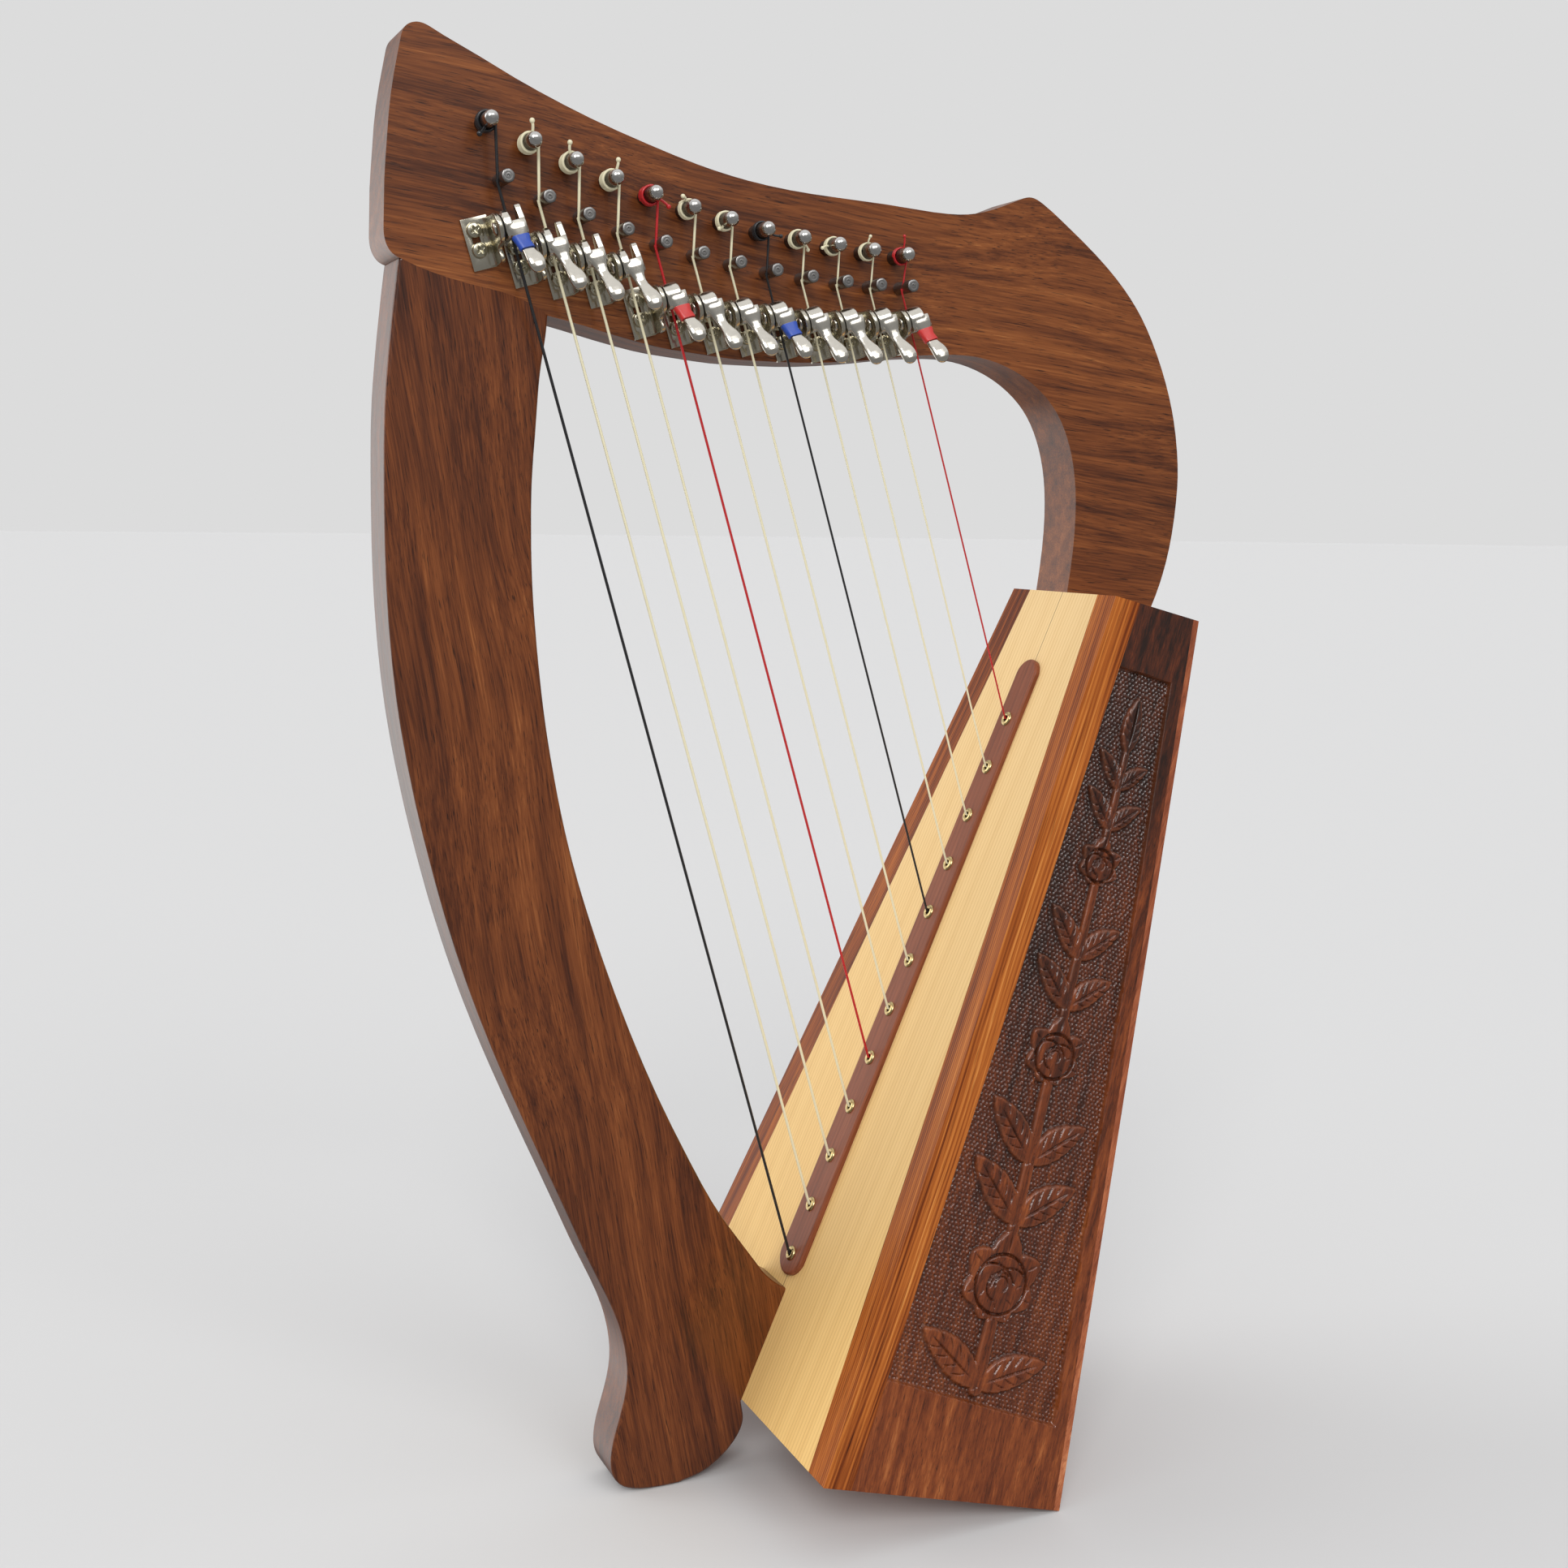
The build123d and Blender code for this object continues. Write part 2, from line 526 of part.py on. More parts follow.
def across(f, x):
    """Profile plane of a lever frame: local x runs up the string, local y out of the neck."""
    return Plane(origin=f.from_local_coords(Vector(x, 0, 0)), x_dir=f.y_dir, z_dir=f.x_dir)


with BuildPart() as lever_brackets:
    for f in frames:
        with BuildSketch(Plane(origin=f.from_local_coords(Vector(0, 0, NECK_H)), x_dir=f.x_dir, z_dir=f.z_dir)):
            with Locations(((PLATE_X[0] + PLATE_X[1]) / 2, (PLATE_Y[0] + PLATE_Y[1]) / 2)):
                Rectangle(PLATE_X[1] - PLATE_X[0], PLATE_Y[1] - PLATE_Y[0])
        extrude(amount=PLATE_T)
        with BuildSketch(across(f, EAR_X[0])):
            with BuildLine():
                Line((PLATE_Y[0], NECK_H), (PLATE_Y[1] - 1.0, NECK_H))
                Line((PLATE_Y[1] - 1.0, NECK_H), (EAR_R, 0))
                ThreePointArc((EAR_R, 0), (0, EAR_R), (-EAR_R, 0))
                Line((-EAR_R, 0), (PLATE_Y[0], NECK_H + 5.0))
                Line((PLATE_Y[0], NECK_H + 5.0), (PLATE_Y[0], NECK_H))
            make_face()
        extrude(amount=EAR_X[1] - EAR_X[0])
        with BuildSketch(Plane(origin=f.from_local_coords(Vector(SCREWS[0][0], 0, NECK_H - 1)), x_dir=f.x_dir, z_dir=f.z_dir)):
            with Locations((0, (SCREWS[0][1] + SCREWS[1][1]) / 2)):
                SlotCenterToCenter(SCREWS[0][1] - SCREWS[1][1], 3.3, rotation=90)
        extrude(amount=PLATE_T + 2, mode=Mode.SUBTRACT)
        with Locations(across(f, EAR_X[0]).location * Location((0, 0, 1))):
            Cylinder(AXLE_R + 0.01, 6.0, mode=Mode.SUBTRACT)
write(lever_brackets.part, "lever_brackets")

with BuildPart() as lever_screws:
    for f in frames:
        for x, y in SCREWS:
            head = f.from_local_coords(Vector(x, y, NECK_H + PLATE_T))
            with BuildSketch(Plane(origin=head, x_dir=f.x_dir, z_dir=-f.y_dir)):
                with BuildLine():
                    Line((0, 1.9), (0.8, 1.9))
                    ThreePointArc((0.8, 1.9), (2.25, 1.35), (2.75, 0.3))
                    Line((2.75, 0.3), (2.75, 0))
                    Line((2.75, 0), (1.5, 0))
                    Line((1.5, 0), (1.5, -9.6))
                    Line((1.5, -9.6), (0, -10.6))
                    Line((0, -10.6), (0, 1.9))
                make_face()
            revolve(axis=Axis(head, f.z_dir))
            with Locations(f.location * Location((x, y, NECK_H + PLATE_T + 1.6))):
                Box(2.6, 0.6, 1.4, mode=Mode.SUBTRACT)
                Box(0.6, 2.6, 1.4, mode=Mode.SUBTRACT)
write(lever_screws.part, "lever_screws")

with BuildPart() as lever_washers:
    for f in frames:
        with BuildSketch(across(f, WASHER_X[0])):
            Circle(CAM_R - 0.3)
            Circle(AXLE_R + 0.02, mode=Mode.SUBTRACT)
        extrude(amount=WASHER_X[1] - WASHER_X[0])
write(lever_washers.part, "lever_washers")

with BuildPart() as lever_axles:
    for f in frames:
        with BuildSketch(across(f, EAR_X[0] - 0.8)):
            Circle(2.5)
        extrude(amount=0.8)
        with BuildSketch(across(f, EAR_X[0])):
            Circle(AXLE_R)
        extrude(amount=6.0)
write(lever_axles.part, "lever_axles")

HANDLE_TILT = 22.0       # handle from the string, outwards
SPOON = 25.0             # from the axis to the tip of the handle
for i, f in enumerate(frames):
    t = math.radians(HANDLE_TILT)
    run = f.y_dir * -math.cos(t) + f.z_dir * math.sin(t)
    out = f.y_dir * math.sin(t) + f.z_dir * math.cos(t)
    # local x across the string, local y along the handle
    flat = Plane(origin=f.origin + out * 3.0, x_dir=f.x_dir, z_dir=f.x_dir.cross(run))
    with BuildPart() as lever:
        if i in FORKED:
            with BuildSketch(across(f, CAM_X[0])):
                Circle(CAM_R)
            extrude(amount=3.35)
            with BuildSketch(across(f, 1.65)):
                with BuildLine():
                    Line((-5.0, -1.0), (5.8, -0.4))
                    ThreePointArc((5.8, -0.4), (7.2, 1.0), (5.8, 2.4))
                    Line((5.8, 2.4), (-0.5, 4.9))
                    Line((-0.5, 4.9), (-5.0, 3.6))
                    Line((-5.0, 3.6), (-5.0, -1.0))
                make_face()
            extrude(amount=2.5)
            with BuildSketch(across(f, CAM_X[0])):
                Circle(CAM_R)
                with Locations((6.0, 0)):
                    Rectangle(11.0, 12.0, mode=Mode.SUBTRACT)
                with Locations((0, -6.6)):
                    Rectangle(14.0, 6.0, mode=Mode.SUBTRACT)
            extrude(amount=9.1)
        else:
            with BuildSketch(across(f, CAM_X[0])):
                Circle(CAM_R)
            extrude(amount=CAM_X[1] - CAM_X[0])
        with BuildSketch(flat.offset(-0.9)):
            with BuildLine():
                Spline((-4.6, 1.5), (-3.4, 5.0), (-1.2, 9.5), (-0.9, 14.0), (-0.9, 19.0), (0.4, 23.2), (2.6, SPOON),
                       (4.9, 23.4), (6.0, 19.5), (4.6, 14.0), (3.2, 9.0), (3.9, 4.8), (4.1, 1.5))
                Line((4.1, 1.5), (-4.6, 1.5))
            make_face()
        extrude(amount=1.8)
        with Locations(across(f, 0).location * Location((0, 0, -4.0))):
            Cylinder(AXLE_R + 0.03, 4.6, mode=Mode.SUBTRACT)
    write(lever.part, f"lever_{i + 1:02d}")
    if i in SLEEVED:
        with BuildPart() as sleeve:
            with BuildSketch(Plane(origin=flat.from_local_coords(Vector(1.3, 8.0, 0)), x_dir=f.x_dir, z_dir=run)):
                RectangleRounded(7.8, 4.2, 1.2)
                Rectangle(6.4, 1.9, mode=Mode.SUBTRACT)
            extrude(amount=5.0)
        write(sleeve.part, f"lever_sleeve_{i + 1:02d}")

# ---------------------------------------------------------------- strings
KNOT_C = BOARD_T + STRIP_H


def string_solids(indices, name):
    with BuildPart() as bp:
        for i in indices:
            top, corner, eye = strings[i]
            end = on_board(i * PITCH, KNOT_C)
            with BuildLine():
                FilletPolyline(top, corner, eye, end, radius=0.9)
            path = bp.pending_edges_as_wire
            with BuildSketch(Plane(origin=top, z_dir=(corner - top).normalized())):
                Circle(STRING_R[i])
            sweep()
    write(bp.part, name)


string_solids([i for i in range(N) if i not in BLACK + RED], "strings_natural")
string_solids(BLACK, "strings_black")
string_solids(RED, "strings_red")

with BuildPart() as string_knots:
    for i in range(N):
        with Locations(Plane(origin=on_board(i * PITCH, KNOT_C), z_dir=V)):
            with Locations((0, 0, 1.0)):
                Torus(1.5, 0.95)
            Cylinder(1.5, 2.0, align=(Align.CENTER, Align.CENTER, Align.MIN))
write(string_knots.part, "string_knots")
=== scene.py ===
import bpy
import math
import numpy as np
from mathutils import Vector, Matrix
from mathutils.geometry import tessellate_polygon
import bmesh


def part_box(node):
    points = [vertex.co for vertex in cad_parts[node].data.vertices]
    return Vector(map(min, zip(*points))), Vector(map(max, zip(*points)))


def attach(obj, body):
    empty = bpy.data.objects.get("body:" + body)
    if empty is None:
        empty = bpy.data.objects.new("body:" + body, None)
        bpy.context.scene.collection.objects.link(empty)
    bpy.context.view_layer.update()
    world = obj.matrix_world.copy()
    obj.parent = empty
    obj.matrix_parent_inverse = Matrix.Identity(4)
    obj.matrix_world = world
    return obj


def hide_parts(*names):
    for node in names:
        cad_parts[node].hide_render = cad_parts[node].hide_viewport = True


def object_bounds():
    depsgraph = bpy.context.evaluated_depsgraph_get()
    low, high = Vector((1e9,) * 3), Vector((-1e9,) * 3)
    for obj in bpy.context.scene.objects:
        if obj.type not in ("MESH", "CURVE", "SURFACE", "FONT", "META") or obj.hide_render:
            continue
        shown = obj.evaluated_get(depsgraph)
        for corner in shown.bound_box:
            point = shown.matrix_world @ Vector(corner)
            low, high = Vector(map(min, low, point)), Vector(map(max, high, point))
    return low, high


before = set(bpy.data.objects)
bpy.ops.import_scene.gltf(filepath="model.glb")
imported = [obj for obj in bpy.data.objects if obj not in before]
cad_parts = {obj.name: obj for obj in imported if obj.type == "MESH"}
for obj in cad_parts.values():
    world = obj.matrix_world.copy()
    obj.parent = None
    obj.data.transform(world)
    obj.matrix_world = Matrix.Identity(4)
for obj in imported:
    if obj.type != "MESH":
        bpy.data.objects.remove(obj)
cad_lo, cad_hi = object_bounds()
scene = bpy.context.scene
scene.view_settings.view_transform = "Standard"

MM = 0.001

# ------------------------------------------------------------------ the harp's own directions (millimetres)
TILT = math.radians(23.7)
U = np.array([math.sin(TILT), 0.0, math.cos(TILT)])       # up along the soundboard
V = np.array([math.cos(TILT), 0.0, -math.sin(TILT)])      # into the soundbox
YY = np.array([0.0, 1.0, 0.0])
O = np.array([-3.8, 0.0, 96.40])
W0, TAPER, RIM, RIM_D = 68.0, 0.1208, 15.0, 13.0
S_BOT, S_TOP, CUT_BOT, CUT_TOP = -68.0, 323.5, 0.123, 0.16
C0, C_TAPER, BACK_T, SIDE_T = 107.6, 0.1884, 3.0, 7.0
RIB_H, PITCH = 2.5, 23.63
NECK_NEAR, NECK_T = -3.5, 27.0
PIN_R, BRIDGE_R, BRIDGE_OUT, STRING_Y, AXIS_Y = 3.05, 2.7, 14.0, -11.0, -16.6
STRING_R = [0.62, 0.60, 0.58, 0.56, 0.54, 0.52, 0.50, 0.48, 0.46, 0.43, 0.40, 0.38]
TUNING = [(-143.7, 574.9), (-126.6, 568.3), (-109.9, 562.2), (-93.4, 556.8),
          (-77.1, 552.0), (-60.9, 547.8), (-44.8, 544.2), (-28.7, 541.3),
          (-12.6, 539.0), (3.5, 537.2), (19.4, 535.9), (35.2, 535.0)]
BRIDGE = [(-137.2, 554.1), (-120.7, 547.6), (-104.6, 542.1), (-88.5, 537.5),
          (-72.5, 533.6), (-56.5, 530.3), (-40.4, 527.6), (-24.3, 525.4),
          (-8.3, 523.7), (7.6, 522.6), (23.1, 522.1), (38.0, 522.4)]
LEVER_DROP = [18.6, 17.7, 15.6, 13.6, 21.6, 20.8, 19.8, 17.9, 17.6, 16.4, 15.1, 14.7]
LEVER_OFF = [0.2, 0.5, 0.2, 0.2, 0.3, 0.2, 0.0, -0.3, -0.3, 0.0, 0.4, 0.6]
BLACK, RED = (0, 7), (4, 11)
SLEEVES = {0: "blue", 4: "red", 7: "blue", 11: "red"}


def on_board(s, c=0.0, y=0.0):
    return O + U * s + V * c + YY * y


# the hardware is placed by the CAD nodes, so it follows them if they move
def centre_of(node):
    lo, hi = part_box(node)
    return np.array((lo + hi) / 2) / MM


TUNING = [(centre_of(f"tuning_pin_{i + 1:02d}")[0], centre_of(f"tuning_pin_{i + 1:02d}")[2]) for i in range(12)]

# ------------------------------------------------------------------ materials


class Nodes:
    """Short forms for the nodes of one material."""

    def __init__(self, name):
        self.mat = bpy.data.materials.new(name)
        self.mat.use_nodes = True
        self.t = self.mat.node_tree
        self.t.nodes.clear()
        self.out = self.t.nodes.new("ShaderNodeOutputMaterial")
        self.bsdf = self.t.nodes.new("ShaderNodeBsdfPrincipled")
        self.t.links.new(self.bsdf.outputs[0], self.out.inputs[0])

    def set(self, **kw):
        for k, v in kw.items():
            self.bsdf.inputs[k.replace("_", " ")].default_value = v

    def put(self, socket, value):
        if isinstance(value, bpy.types.NodeSocket):
            self.t.links.new(value, socket)
        else:
            socket.default_value = value

    def coords(self):
        return self.t.nodes.new("ShaderNodeTexCoord").outputs["Object"]

    def mapping(self, vec, scale=(1, 1, 1), rot=(0, 0, 0), loc=(0, 0, 0)):
        n = self.t.nodes.new("ShaderNodeMapping")
        self.put(n.inputs["Vector"], vec)
        n.inputs["Scale"].default_value = scale
        n.inputs["Rotation"].default_value = rot
        n.inputs["Location"].default_value = loc
        return n.outputs[0]

    def noise(self, vec, scale=1.0, detail=3.0, rough=0.55, distortion=0.0):
        n = self.t.nodes.new("ShaderNodeTexNoise")
        self.put(n.inputs["Vector"], vec)
        n.inputs["Scale"].default_value = scale
        n.inputs["Detail"].default_value = detail
        n.inputs["Roughness"].default_value = rough
        n.inputs["Distortion"].default_value = distortion
        return n.outputs["Fac"]

    def voronoi(self, vec, scale=1.0, feature="F1"):
        n = self.t.nodes.new("ShaderNodeTexVoronoi")
        n.feature = feature
        self.put(n.inputs["Vector"], vec)
        n.inputs["Scale"].default_value = scale
        return n.outputs["Distance"]

    def wave(self, vec, scale, kind="RINGS", direction="X", distortion=2.0, detail=2.0, detail_scale=1.0, profile="SIN"):
        n = self.t.nodes.new("ShaderNodeTexWave")
        n.wave_type = kind
        n.wave_profile = profile
        if kind == "RINGS":
            n.rings_direction = direction
        else:
            n.bands_direction = direction
        self.put(n.inputs["Vector"], vec)
        n.inputs["Scale"].default_value = scale
        n.inputs["Distortion"].default_value = distortion
        n.inputs["Detail"].default_value = detail
        n.inputs["Detail Scale"].default_value = detail_scale
        return n.outputs["Fac"]

    def ramp(self, fac, stops, interp="LINEAR"):
        n = self.t.nodes.new("ShaderNodeValToRGB")
        n.color_ramp.interpolation = interp
        e = n.color_ramp.elements
        while len(e) < len(stops):
            e.new(0.5)
        for k, (p, c) in enumerate(stops):
            e[k].position = p
            e[k].color = c if len(c) == 4 else (*c, 1)
        self.put(n.inputs[0], fac)
        return n.outputs[0]

    def math(self, op, a, b=0.0, clamp=False):
        n = self.t.nodes.new("ShaderNodeMath")
        n.operation = op
        n.use_clamp = clamp
        self.put(n.inputs[0], a)
        self.put(n.inputs[1], b)
        return n.outputs[0]

    def mix(self, fac, a, b, blend="MIX"):
        n = self.t.nodes.new("ShaderNodeMix")
        n.data_type = "RGBA"
        n.blend_type = blend
        self.put(n.inputs[0], fac)
        self.put(n.inputs[6], a)
        self.put(n.inputs[7], b)
        return n.outputs[2]

    def maprange(self, v, a, b, c, d):
        n = self.t.nodes.new("ShaderNodeMapRange")
        self.put(n.inputs[0], v)
        for k, x in enumerate((a, b, c, d)):
            n.inputs[k + 1].default_value = x
        return n.outputs[0]

    def separate(self, v):
        n = self.t.nodes.new("ShaderNodeSeparateXYZ")
        self.put(n.inputs[0], v)
        return n.outputs

    def combine(self, x, y, z):
        n = self.t.nodes.new("ShaderNodeCombineXYZ")
        for k, v in enumerate((x, y, z)):
            self.put(n.inputs[k], v)
        return n.outputs[0]

    def attribute(self, name):
        n = self.t.nodes.new("ShaderNodeAttribute")
        n.attribute_name = name
        return n.outputs["Fac"]

    def bump(self, height, strength, distance, normal=None):
        n = self.t.nodes.new("ShaderNodeBump")
        n.inputs["Strength"].default_value = strength
        n.inputs["Distance"].default_value = distance
        self.put(n.inputs["Height"], height)
        if normal is not None:
            self.put(n.inputs["Normal"], normal)
        return n.outputs[0]

    def base(self, v):
        self.put(self.bsdf.inputs["Base Color"], v)

    def rough(self, v):
        self.put(self.bsdf.inputs["Roughness"], v)

    def normal(self, v):
        self.put(self.bsdf.inputs["Normal"], v)


def srgb(r, g, b):
    return tuple(((c / 255 + 0.055) / 1.055) ** 2.4 if c > 10 else c / 255 / 12.92 for c in (r, g, b))


def wood(name, along, colours, side=(0, 1, 0), ring=70.0, pith=(0.05, 0.08), wobble=1.0, tone=1.1, streak=1.2, fine=0.8,
         rings=0.14, pores=0.6, shift=0.0, roughness=0.40, coat=0.12, coat_rough=0.20, level=0.35, carved=False, darker=0.0, run=11.0, seed=0.0):
    """Wood with its grain along a direction: slow tone, streaks, fibre, faint growth rings and short dark pores."""
    n = Nodes(name)
    a = Vector(along).normalized()
    c = Vector(side)
    c = (c - a * c.dot(a)).normalized()
    m = Matrix((a, c, a.cross(c)))                       # object space to grain space
    p = n.mapping(n.coords(), rot=tuple(m.to_euler()), loc=(seed, seed * 0.7, seed * 0.3))
    x, y, z = n.separate(p)
    bend = n.math("SUBTRACT", n.noise(n.mapping(p, scale=(3.0, 7.0, 7.0)), 1.0, 2.0), 0.5)
    y = n.math("ADD", y, n.math("MULTIPLY", bend, 0.030 * wobble))
    z = n.math("ADD", z, n.math("MULTIPLY", bend, 0.024 * wobble))
    q = n.combine(x, y, z)

    def layer(scale, detail, rough, weight, distortion=0.0):
        v = n.noise(n.mapping(q, scale=scale), 1.0, detail, rough, distortion)
        return n.math("MULTIPLY", n.math("SUBTRACT", v, 0.5), weight), v
    f, _ = layer((3.0, 22.0, 22.0), 3.0, 0.6, tone)
    g, _ = layer((run, 240.0, 240.0), 4.0, 0.62, streak)
    h, fibre = layer((run * 2.4, 1300.0, 1300.0), 3.0, 0.6, fine)
    rg = n.wave(n.combine(n.math("MULTIPLY", x, 0.04), n.math("ADD", y, pith[0]), n.math("ADD", z, pith[1])),
                ring, "RINGS", "X", distortion=2.5, detail=3.0, detail_scale=0.8)
    rg = n.math("MULTIPLY", n.math("SUBTRACT", rg, 0.5), rings)
    f = n.math("ADD", n.math("ADD", f, g), n.math("ADD", h, rg))
    f = n.math("ADD", f, 0.5 + shift)
    if darker:                                           # the colour runs darker towards the top of the harp
        f = n.math("ADD", f, n.maprange(n.separate(n.coords())[2], 0.04, 0.40, 0.26 * darker, -0.50 * darker))
    col = n.ramp(f, colours)
    pore = n.noise(n.mapping(q, scale=(run * 8.5, 2300.0, 2300.0)), 1.0, 2.0, 0.5)
    pore = n.maprange(pore, 0.60, 0.70, 0.0, 1.0)
    col = n.mix(n.math("MULTIPLY", pore, pores), col, (*[c * 0.35 for c in colours[0][1][:3]], 1))
    height = n.math("SUBTRACT", n.math("MULTIPLY", fibre, 0.4), n.math("MULTIPLY", pore, 0.8))
    if carved:
        deep = n.attribute("depth")
        # painted shade: the punched ground and the cuts are painted darker by their depth
        col = n.mix(n.maprange(deep, 0.10, 0.95, 0.0, 0.24), col, (*srgb(58, 28, 14), 1))
        # painted shade: dimples, cuts and the foot of the standing motif are painted near black
        col = n.mix(n.math("MULTIPLY", n.attribute("pits"), 0.52), col, (*srgb(26, 12, 8), 1))
        # painted highlight: the edges of the carving and of the field are painted paler
        col = n.mix(n.math("MULTIPLY", n.attribute("edge_highlight"), 0.25), col, (*srgb(150, 84, 46), 1))
        n.rough(n.math("ADD", n.maprange(deep, 0.0, 1.0, roughness, 0.26), n.math("MULTIPLY", n.attribute("pits"), 0.25)))
    else:
        n.rough(n.maprange(fibre, 0.3, 0.7, roughness - 0.05, roughness + 0.07))
    n.base(col)
    n.set(Coat_Weight=coat, Coat_Roughness=coat_rough)
    n.bsdf.inputs["Specular IOR Level"].default_value = level
    n.normal(n.bump(height, 0.25, 0.00010))
    return n.mat


LEAN = math.radians(5.0)
ALONG_SIDE = U * math.cos(LEAN) - V * math.sin(LEAN)
WALNUT = [(0.0, srgb(40, 18, 8)), (0.28, srgb(74, 34, 13)), (0.52, srgb(102, 51, 19)), (0.75, srgb(124, 66, 27)), (1.0, srgb(156, 94, 46))]
WALNUT_2 = [(0.0, srgb(46, 21, 9)), (0.28, srgb(82, 40, 16)), (0.52, srgb(112, 59, 24)), (0.75, srgb(134, 75, 33)), (1.0, srgb(166, 104, 54))]
ROSEWOOD = [(0.0, srgb(34, 14, 6)), (0.30, srgb(72, 31, 12)), (0.55, srgb(108, 49, 18)), (0.8, srgb(136, 68, 27)), (1.0, srgb(164, 94, 46))]
STRIPED = [(0.0, srgb(60, 24, 8)), (0.28, srgb(112, 50, 15)), (0.5, srgb(154, 80, 28)), (0.75, srgb(184, 106, 42)), (1.0, srgb(214, 144, 74))]
m_neck = wood("walnut_neck", (1.0, 0, -0.12), WALNUT_2, ring=34.0, pith=(0.06, -0.30), wobble=1.6, tone=0.80, streak=0.90, fine=0.95, rings=0.10,
              pores=0.75, coat=0.55, coat_rough=0.24, level=0.20, seed=0.07)
m_pillar = wood("walnut_pillar", (0.17, 0, -0.98), WALNUT, ring=34.0, pith=(0.06, 0.22), wobble=1.4, tone=0.90, streak=0.85, fine=0.95, rings=0.10,
                pores=0.75, shift=-0.02, coat=0.55, coat_rough=0.24, level=0.20, seed=0.31)
m_side = wood("rosewood_side", tuple(ALONG_SIDE), ROSEWOOD, ring=50.0, wobble=0.45, tone=1.05, streak=1.0, roughness=0.34, coat=0.6, coat_rough=0.10,
              level=0.30, carved=True, darker=0.55, run=5.5, seed=0.12)
m_strip_left = wood("striped_edge_left", tuple(U + YY * TAPER), STRIPED, ring=260.0, pith=(0.02, 0.03), wobble=0.35, tone=0.55, streak=1.15, fine=0.9,
                    rings=0.22, coat=0.04, level=0.18, run=5.0, seed=0.53)
# painted shade: the far strip is the same striped wood as the near one, painted darker by its shift
m_strip_far_shaded = wood("striped_edge_far_shaded", tuple(U - YY * TAPER), STRIPED, ring=260.0, pith=(0.02, 0.03), wobble=0.35, tone=0.55, streak=1.1, fine=0.9,
                     rings=0.22, shift=-0.16, coat=0.04, level=0.18, run=5.0, seed=0.83)
m_rib = wood("rosewood_rib", tuple(U),
             [(0.0, srgb(84, 42, 24)), (0.4, srgb(120, 64, 40)), (0.7, srgb(136, 76, 50)), (1.0, srgb(156, 94, 64))],
             ring=120.0, wobble=0.3, tone=0.6, streak=0.9, pores=0.4, level=0.2, seed=0.9)
m_back = wood("rosewood_back", tuple(U),
              [(0.0, srgb(96, 44, 26)), (0.4, srgb(140, 72, 42)), (0.7, srgb(172, 98, 60)), (1.0, srgb(200, 130, 86))],
              ring=60.0, wobble=0.9, seed=1.4)
m_inner = wood("raw_inner_wood", tuple(U),
               [(0.0, srgb(176, 138, 92)), (0.4, srgb(200, 162, 112)), (0.7, srgb(214, 180, 130)), (1.0, srgb(226, 196, 150))],
               ring=160.0, wobble=0.4, pores=0.15, tone=0.6, coat=0.0, roughness=0.6, seed=2.2)


def spruce():
    n = Nodes("spruce_top")
    a = Vector(tuple(U))
    side = Vector((0, 1, 0))
    m = Matrix((a, side, a.cross(side)))
    p = n.mapping(n.coords(), rot=tuple(m.to_euler()))
    x, y, z = n.separate(p)
    mirror = n.math("ABSOLUTE", y)                       # the two halves are book-matched
    slow = n.noise(n.mapping(p, scale=(3.0, 60.0, 1.0)), 1.0, 2.0)
    yy = n.math("ADD", mirror, n.math("MULTIPLY", n.math("SUBTRACT", slow, 0.5), 0.0016))
    q = n.combine(n.math("MULTIPLY", x, 0.02), yy, 0.0)
    lines = n.wave(q, 135.0, "BANDS", "Y", distortion=0.9, detail=2.0, detail_scale=0.5, profile="SAW")
    lines = n.ramp(lines, [(0.0, (0, 0, 0)), (0.55, (0.10, 0.10, 0.10)), (0.93, (1, 1, 1)), (1.0, (0.1, 0.1, 0.1))])
    wide = n.noise(n.mapping(q, scale=(60.0, 120.0, 1.0)), 1.0, 2.0)
    fib = n.noise(n.mapping(q, scale=(2600.0, 2200.0, 1.0)), 1.0, 3.0)
    # painted paler towards the top and deeper in colour towards the bottom: partly the varnish, partly painted light
    tone = n.maprange(x, 0.0, 0.40, 0.0, 1.0)
    light = n.mix(tone, (*srgb(236, 196, 126), 1), (*srgb(234, 202, 148), 1))
    dark = n.mix(tone, (*srgb(200, 152, 86), 1), (*srgb(206, 164, 105), 1))
    f = n.math("ADD", n.math("MULTIPLY", lines, 0.55), n.math("MULTIPLY", n.math("SUBTRACT", wide, 0.45), 0.8))
    f = n.math("ADD", f, n.math("MULTIPLY", n.math("SUBTRACT", fib, 0.5), 0.5), clamp=True)
    col = n.mix(f, light, dark)
    seam = n.maprange(mirror, 0.00010, 0.00040, 0.8, 0.0)
    col = n.mix(seam, col, (*srgb(120, 84, 46), 1))
    n.base(col)
    n.rough(0.45)
    n.set(Coat_Weight=0.03, Coat_Roughness=0.3)
    n.bsdf.inputs["Specular IOR Level"].default_value = 0.15
    n.normal(n.bump(n.math("SUBTRACT", n.math("MULTIPLY", fib, 0.5), n.math("MULTIPLY", seam, 1.5)), 0.2, 0.0001))
    return n.mat


m_spruce = spruce()


def metal(name, colour, rough=0.18, spread=0.10, scale=900.0, brushed=0.0, stain=0.0, bump=0.15):
    n = Nodes(name)
    p = n.coords()
    cloud = n.noise(p, 260.0, 4.0, 0.6)
    fine = n.noise(n.mapping(p, scale=(1, 1, 1)), scale, 3.0, 0.6)
    f = n.math("ADD", n.math("MULTIPLY", cloud, 0.6), n.math("MULTIPLY", fine, 0.4))
    n.rough(n.maprange(f, 0.35, 0.65, max(0.03, rough - spread / 2), rough + spread))
    dark = tuple(c * (1 - 0.25 - stain) for c in colour)
    n.base(n.mix(n.maprange(cloud, 0.42, 0.72, 0.0, 0.35 + stain), (*colour, 1), (*dark, 1)))
    n.set(Metallic=1.0)
    n.normal(n.bump(fine, bump, 0.00002))
    return n.mat


